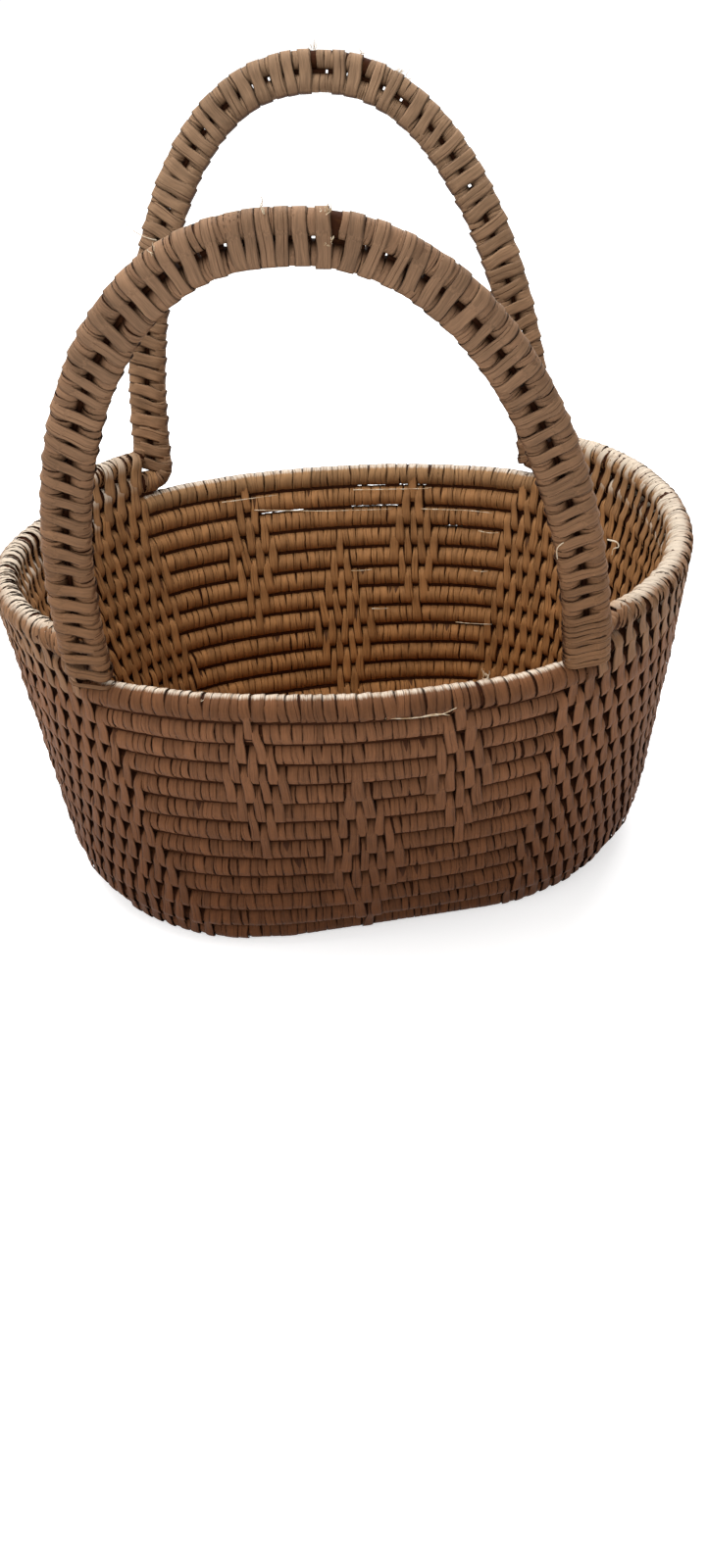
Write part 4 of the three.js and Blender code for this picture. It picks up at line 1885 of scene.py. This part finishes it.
    def build(self, shop: StripShop, finishes: Finishes) -> None:
        """Makes the rods' wraps and the bands.

        Args:
            shop: Maker of strip pieces.
            finishes: Finishes of the basket.
        """
        for rod, word in enumerate(("inner", "outer")):
            line = self.rod_line(rod)
            bare = np.sort(self.worn_lengths(line.points, line.along)) if rod == 1 else np.array([])
            bare = np.sort([bare - self.worn_length / 2, bare + self.worn_length / 2], axis=None)
            borders = [0, *bare, line.along[-1]]
            chance = Seed.ROD.chance(rod + 10 * self.side)
            strips = self.wrapping.strips(line, list(zip(borders[::2], borders[1::2])), chance)
            piece = shop.make(
                f"{self.name}_handle_{word}_wraps",
                Form.WRAP,
                strips,
                finishes.handle,
                [thinned(line.points, self.core_step)],
                self.core_half,
                Seed.ROD_SHAPES + rod + self.side,
            )
            self.dress(piece, "handle_straw", f"{self.name}_handle_{word}_rod")
        piece = shop.make(
            f"{self.name}_handle_bands",
            Form.BAND,
            self.bands(Seed.BAND.chance(self.side)),
            finishes.binding,
            self.shade_threads(Seed.THREAD.chance(self.side)),
            self.thread_half,
            Seed.BAND_SHAPES + self.side,
            self.band_lean,
        )
        places = ("right_foot", "crown", "left_foot")
        self.dress(piece, "binding_straw", *[f"{self.name}_handle_{place}_binding" for place in places])

    def dress(self, piece: bpy.types.Object, slot: str, *nodes: str) -> None:
        """Bakes a piece's place into its mesh and hides the nodes that it replaces.

        Args:
            piece: The finished piece.
            slot: Not used.
            nodes: Nodes that it replaces.
        """
        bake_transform(piece)
        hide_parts(*nodes)
        LOG.info("%s: %d faces on %s_handle", piece.name, len(piece.data.polygons), self.name)


# ---------------------------------------------------------------- loose ends


@dataclass(frozen=True)
class Tuft:
    """Short fibres that stand off one place. Place in millimetres."""

    place: Point
    way: Point
    fibres: int = 7


@dataclass(frozen=True)
class LooseStraw:
    """Loose ends of straw on one body: curls, each through points in millimetres, and tufts of short fibres."""

    body: str
    curls: tuple[tuple[Point, ...], ...]
    tufts: tuple[Tuft, ...] = ()
    curl_half: float = 0.33 * MM
    curl_steps: int = 6
    fibre_half: float = 0.2 * MM
    fibre_steps: int = 3
    fibre_length: float = 2.6 * MM
    fibre_shares: tuple[float, float] = (0.5, 1.1)
    root_spread: float = 0.9 * MM
    way_spread: float = 0.35
    droop: float = 0.5 * MM
    tip: float = 0.45
    sides: int = 5
    aside: Point = (0.31, 0.52, 0.79)

    @staticmethod
    def curve(points: np.ndarray, steps: int) -> np.ndarray:
        """Smooth line through points, with a number of steps between each two.

        Args:
            points: One point per line.
            steps: Steps between two points.

        Returns:
            One point per line.
        """
        padded = np.concatenate([2 * points[:1] - points[1:2], points, 2 * points[-1:] - points[-2:-1]])
        share = np.arange(steps)[:, None] / steps
        line = []
        for before, start, end, after in zip(padded, padded[1:], padded[2:], padded[3:]):
            bend = 2 * before - 5 * start + 4 * end - after
            twist = 3 * start - before - 3 * end + after
            line.append(start + 0.5 * share * (end - before + share * (bend + share * twist)))
        return np.concatenate([*line, points[-1:]])

    def tube(self, made: bmesh.types.BMesh, line: np.ndarray, half: float) -> None:
        """Adds a closed tube that thins towards its end.

        Args:
            made: Mesh under construction.
            line: Middle line of the tube.
            half: Half thickness at its start.
        """
        tangent = unit(np.gradient(line, axis=0))
        first = unit(np.cross(tangent, self.aside))
        second = np.cross(tangent, first)
        turned = np.arange(self.sides)[:, None] * TURN / self.sides
        thick = half * np.linspace(1, self.tip, len(line))
        rings = []
        for point, one, two, reach in zip(line, first, second, thick):
            ring = point + reach * (np.cos(turned) * one + np.sin(turned) * two)
            rings.append([made.verts.new(tuple(v)) for v in ring])
        skin(made, rings, closed=False)
        made.faces.new(rings[0][::-1])
        made.faces.new(rings[-1])

    def fibre(self, tuft: Tuft, chance: np.random.Generator) -> np.ndarray:
        """Middle line of one short fibre of a tuft.

        Args:
            tuft: The tuft.
            chance: Seeded source of chance.

        Returns:
            One point per line.
        """
        start = np.array(tuft.place) * MM + chance.normal(0, 1, 3) * self.root_spread
        way = unit(np.array(tuft.way)) + chance.normal(0, self.way_spread, 3)
        reach = way * self.fibre_length * chance.uniform(*self.fibre_shares)
        droop = chance.normal(0, 1, 3) * self.droop
        return self.curve(np.stack([start, start + reach * 0.5 + droop, start + reach]), self.fibre_steps)

    def build(self, finishes: Finishes) -> None:
        """Makes the curls and tufts as one piece.

        Args:
            finishes: Finishes of the basket.
        """
        made = bmesh.new()
        for points in self.curls:
            self.tube(made, self.curve(np.array(points) * MM, self.curl_steps), self.curl_half)
        chance = np.random.default_rng(len(self.body))
        for tuft in self.tufts:
            for _ in range(tuft.fibres):
                self.tube(made, self.fibre(tuft, chance), self.fibre_half)
        mesh = finished(made, f"{self.body}_loose_straw")
        mesh.materials.append(finishes.loose)
        dress(placed(mesh.name, mesh), self.body, "binding_straw")


LOOSE_STRAW = (
    LooseStraw(
        "basket",
        (
            ((20, -137.2, 149.0), (29, -137.3, 148.6), (38, -137.2, 149.2), (44, -137.6, 150.2), (50, -137.2, 152.8)),
            ((36, -137.6, 149.4), (42, -138.0, 150.6), (47, -137.8, 149.6)),
            ((-53.5, 118.6, 131), (-35, 120.4, 129), (-14, 122.2, 126.9), (5, 122.6, 126.3), (25, 121.9, 126.3)),
            ((3.5, 125.6, 137.6), (23, 124.8, 137.3), (42.8, 122.5, 137.7), (48.4, 121.4, 138.8)),
            ((-71, 115.2, 138.2), (-62, 117.8, 137.9), (-51.5, 120.4, 137.8), (-40, 122.6, 137.9)),
            ((42, 120.0, 126.4), (56, 117.6, 126.3), (69, 114.3, 126.6), (82, 109.6, 126.6)),
            ((74, 111, 115.4), (80, 108.4, 115.0), (85, 106, 116.0)),
            ((0, 114.4, 92.0), (6, 114.6, 91.8), (12, 114.5, 92.2)),
            ((71, 107.2, 92.2), (75, 106.0, 92.0), (79, 104.4, 92.9)),
            ((11, 109.6, 69.2), (16, 109.4, 68.9), (21, 108.9, 69.3)),
            ((60, 104.6, 60.4), (70, 102.6, 60.0), (81, 99.6, 60.6)),
        ),
        (Tuft((63, -124.5, 158.8), (-0.3, 0.2, 1.0)), Tuft((-58, -129, 157.5), (0.2, -0.3, 1.0), 4)),
    ),
    LooseStraw(
        "front_handle",
        (
            ((98, -128.0, 222.0), (94.4, -129.8, 223.4), (90.9, -130.4, 220.8), (91.0, -130.4, 216.0)),
            (
                (111, -126.0, 221.4),
                (114.6, -127.0, 220.6),
                (115.4, -127.2, 218.6),
                (113.4, -127.2, 217.8),
                (113, -127, 215.2),
            ),
        ),
        (
            Tuft((-12, -154, 359), (0.1, -0.2, 1.0)),
            Tuft((9, -155, 358.5), (0.3, -0.3, 1.0), 9),
            Tuft((-50, -152, 348), (-0.6, -0.2, 0.8), 5),
            Tuft((10.2, -155, 348.5), (0.1, -1.0, 0.1), 6),
        ),
    ),
    LooseStraw(
        "back_handle",
        (((-92, 133.5, 279), (-97.5, 133.0, 281.0), (-103, 132.6, 284.5), (-107.5, 133.0, 288.8)),),
        (
            Tuft((-5.7, 154, 362), (0.1, 0, 1.0), 10),
            Tuft((18, 153, 357), (0.3, 0, 1.0), 7),
            Tuft((37.5, 151, 349), (0.6, 0, 0.8), 10),
            Tuft((42, 150.5, 346), (0.7, 0, 0.7), 6),
            Tuft((-48, 152, 347), (-0.6, 0, 0.8), 4),
        ),
    ),
)


# ---------------------------------------------------------------- studio


@dataclass(frozen=True)
class Lamp:
    """Soft square lamp: where it hangs, its power in watts and the length of its side."""

    name: str
    place: Point
    power: float
    size: float

    def build(self, target: Point) -> None:
        """Hangs the lamp so that it looks at a place.

        Args:
            target: The place.
        """
        data = bpy.data.lights.new(self.name, "AREA")
        data.energy, data.size = self.power, self.size
        lamp = placed(self.name, data)
        lamp.location = self.place
        lamp.rotation_euler = (Vector(target) - Vector(self.place)).to_track_quat("-Z", "Y").to_euler()


@dataclass
class Studio:
    """Pale floor, soft light and the camera at the photograph's angle."""

    eye: Point = (0.0289, -0.6572, 0.4795)
    yaw: float = math.radians(-2.65)
    pitch: float = math.radians(34.93)
    roll: float = math.radians(-3.75)
    focal_pixels: float = 1493.1
    frame_height: int = 1600
    sensor: float = 36.0
    clip: tuple[float, float] = (0.01, 50)
    floor_half: float = 4.0
    floor_grey: float = 0.8
    floor_glow: float = 0.55
    room_light: float = 0.62
    lamps: tuple[Lamp, ...] = (
        Lamp("window", (0.5, 1.3, 1.5), 26, 1.2),
        Lamp("fill", (-1.0, -1.2, 1.3), 8.5, 1.4),
        Lamp("ceiling", (-0.3, 0.0, 1.3), 12, 0.9),
    )
    lamp_target: Point = (0, 0, 0.12)

    def camera(self) -> None:
        """Places the camera."""
        data = bpy.data.cameras.new("camera")
        data.sensor_fit = "VERTICAL"
        data.sensor_height = self.sensor
        data.lens = self.focal_pixels / self.frame_height * self.sensor
        data.clip_start, data.clip_end = self.clip
        level = Vector((math.sin(self.yaw), math.cos(self.yaw), 0))
        forward = level * math.cos(self.pitch) - Vector((0, 0, math.sin(self.pitch)))
        right = Vector((math.cos(self.yaw), -math.sin(self.yaw), 0))
        up = right.cross(forward)
        across = right * math.cos(self.roll) + up * math.sin(self.roll)
        upright = up * math.cos(self.roll) - right * math.sin(self.roll)
        turned = Matrix((across, upright, -forward)).transposed().to_4x4()
        eye = placed("camera", data)
        eye.matrix_world = Matrix.Translation(self.eye) @ turned
        bpy.context.scene.camera = eye

    def floor(self) -> None:
        """Lays the floor, which shows white to the camera and keeps the object's shadow."""
        half = self.floor_half
        mesh = bpy.data.meshes.new("floor")
        mesh.from_pydata([(-half, -half, 0), (half, -half, 0), (half, half, 0), (-half, half, 0)], [], [(0, 1, 2, 3)])
        p = Painter("floor_white")
        plain = p.add("ShaderNodeBsdfDiffuse", {}, {"Color": (*[self.floor_grey] * 3, 1)})
        glow = p.add("ShaderNodeEmission", {}, {"Color": (1, 1, 1, 1), "Strength": p.seen() * self.floor_glow})
        mesh.materials.append(p.close(p.add("ShaderNodeAddShader", {}, {0: plain, 1: glow})))
        placed("floor", mesh)

    def world(self) -> None:
        """Lights the room evenly and shows white to the camera."""
        world = bpy.data.worlds.new("room")
        bpy.context.scene.world = world
        world.use_nodes = True
        maker = NodeMaker(world.node_tree)
        room, shown = [
            maker.add("ShaderNodeBackground", {}, {"Color": (1, 1, 1, 1), "Strength": strength})
            for strength in (self.room_light, 1.0)
        ]
        picked = maker.add("ShaderNodeMixShader", {}, {0: maker.seen(), 1: room, 2: shown})
        maker.node("ShaderNodeOutputWorld", {}, {"Surface": picked})

    def build(self) -> None:
        """Sets the whole studio up."""
        self.camera()
        self.floor()
        self.world()
        for lamp in self.lamps:
            lamp.build(self.lamp_target)
        bpy.context.scene.view_settings.view_transform = "Standard"


def handles(form: BasketForm) -> list[Handle]:
    """Returns the two handles.

    Args:
        form: Form of the basket.

    Returns:
        The front handle and the back one.
    """
    front = Handle(
        form,
        "front",
        side=-1,
        rise=193.2 * MM,
        blend_start=170 * MM,
        band_width=5.0 * MM,
        band_period=7.9 * MM,
        band_low=-5.5 * MM,
        dense_right=22 * MM,
        dense_left=9 * MM,
        worn_at=(11.5 * MM,),
    )
    back = Handle(
        form,
        "back",
        side=1,
        rise=207.2 * MM,
        blend_start=161 * MM,
        band_width=6.4 * MM,
        band_period=8.4 * MM,
        band_low=0.0,
        dense_right=4 * MM,
        dense_left=4 * MM,
        worn_at=(-4.5 * MM, 20 * MM, 37 * MM),
    )
    return [front, back]


def main() -> None:
    """Builds the studio and the basket in order."""
    logging.basicConfig(level=logging.INFO, format="%(message)s")
    Studio().build()
    form, finishes = BasketForm(), Finishes()
    shop = StripShop(finishes.core)
    for part in (Base(form), Wall(form), *handles(form)):
        part.build(shop, finishes)
    for loose in LOOSE_STRAW:
        loose.build(finishes)
    shop.clear()


if __name__ == "__main__":
    main()
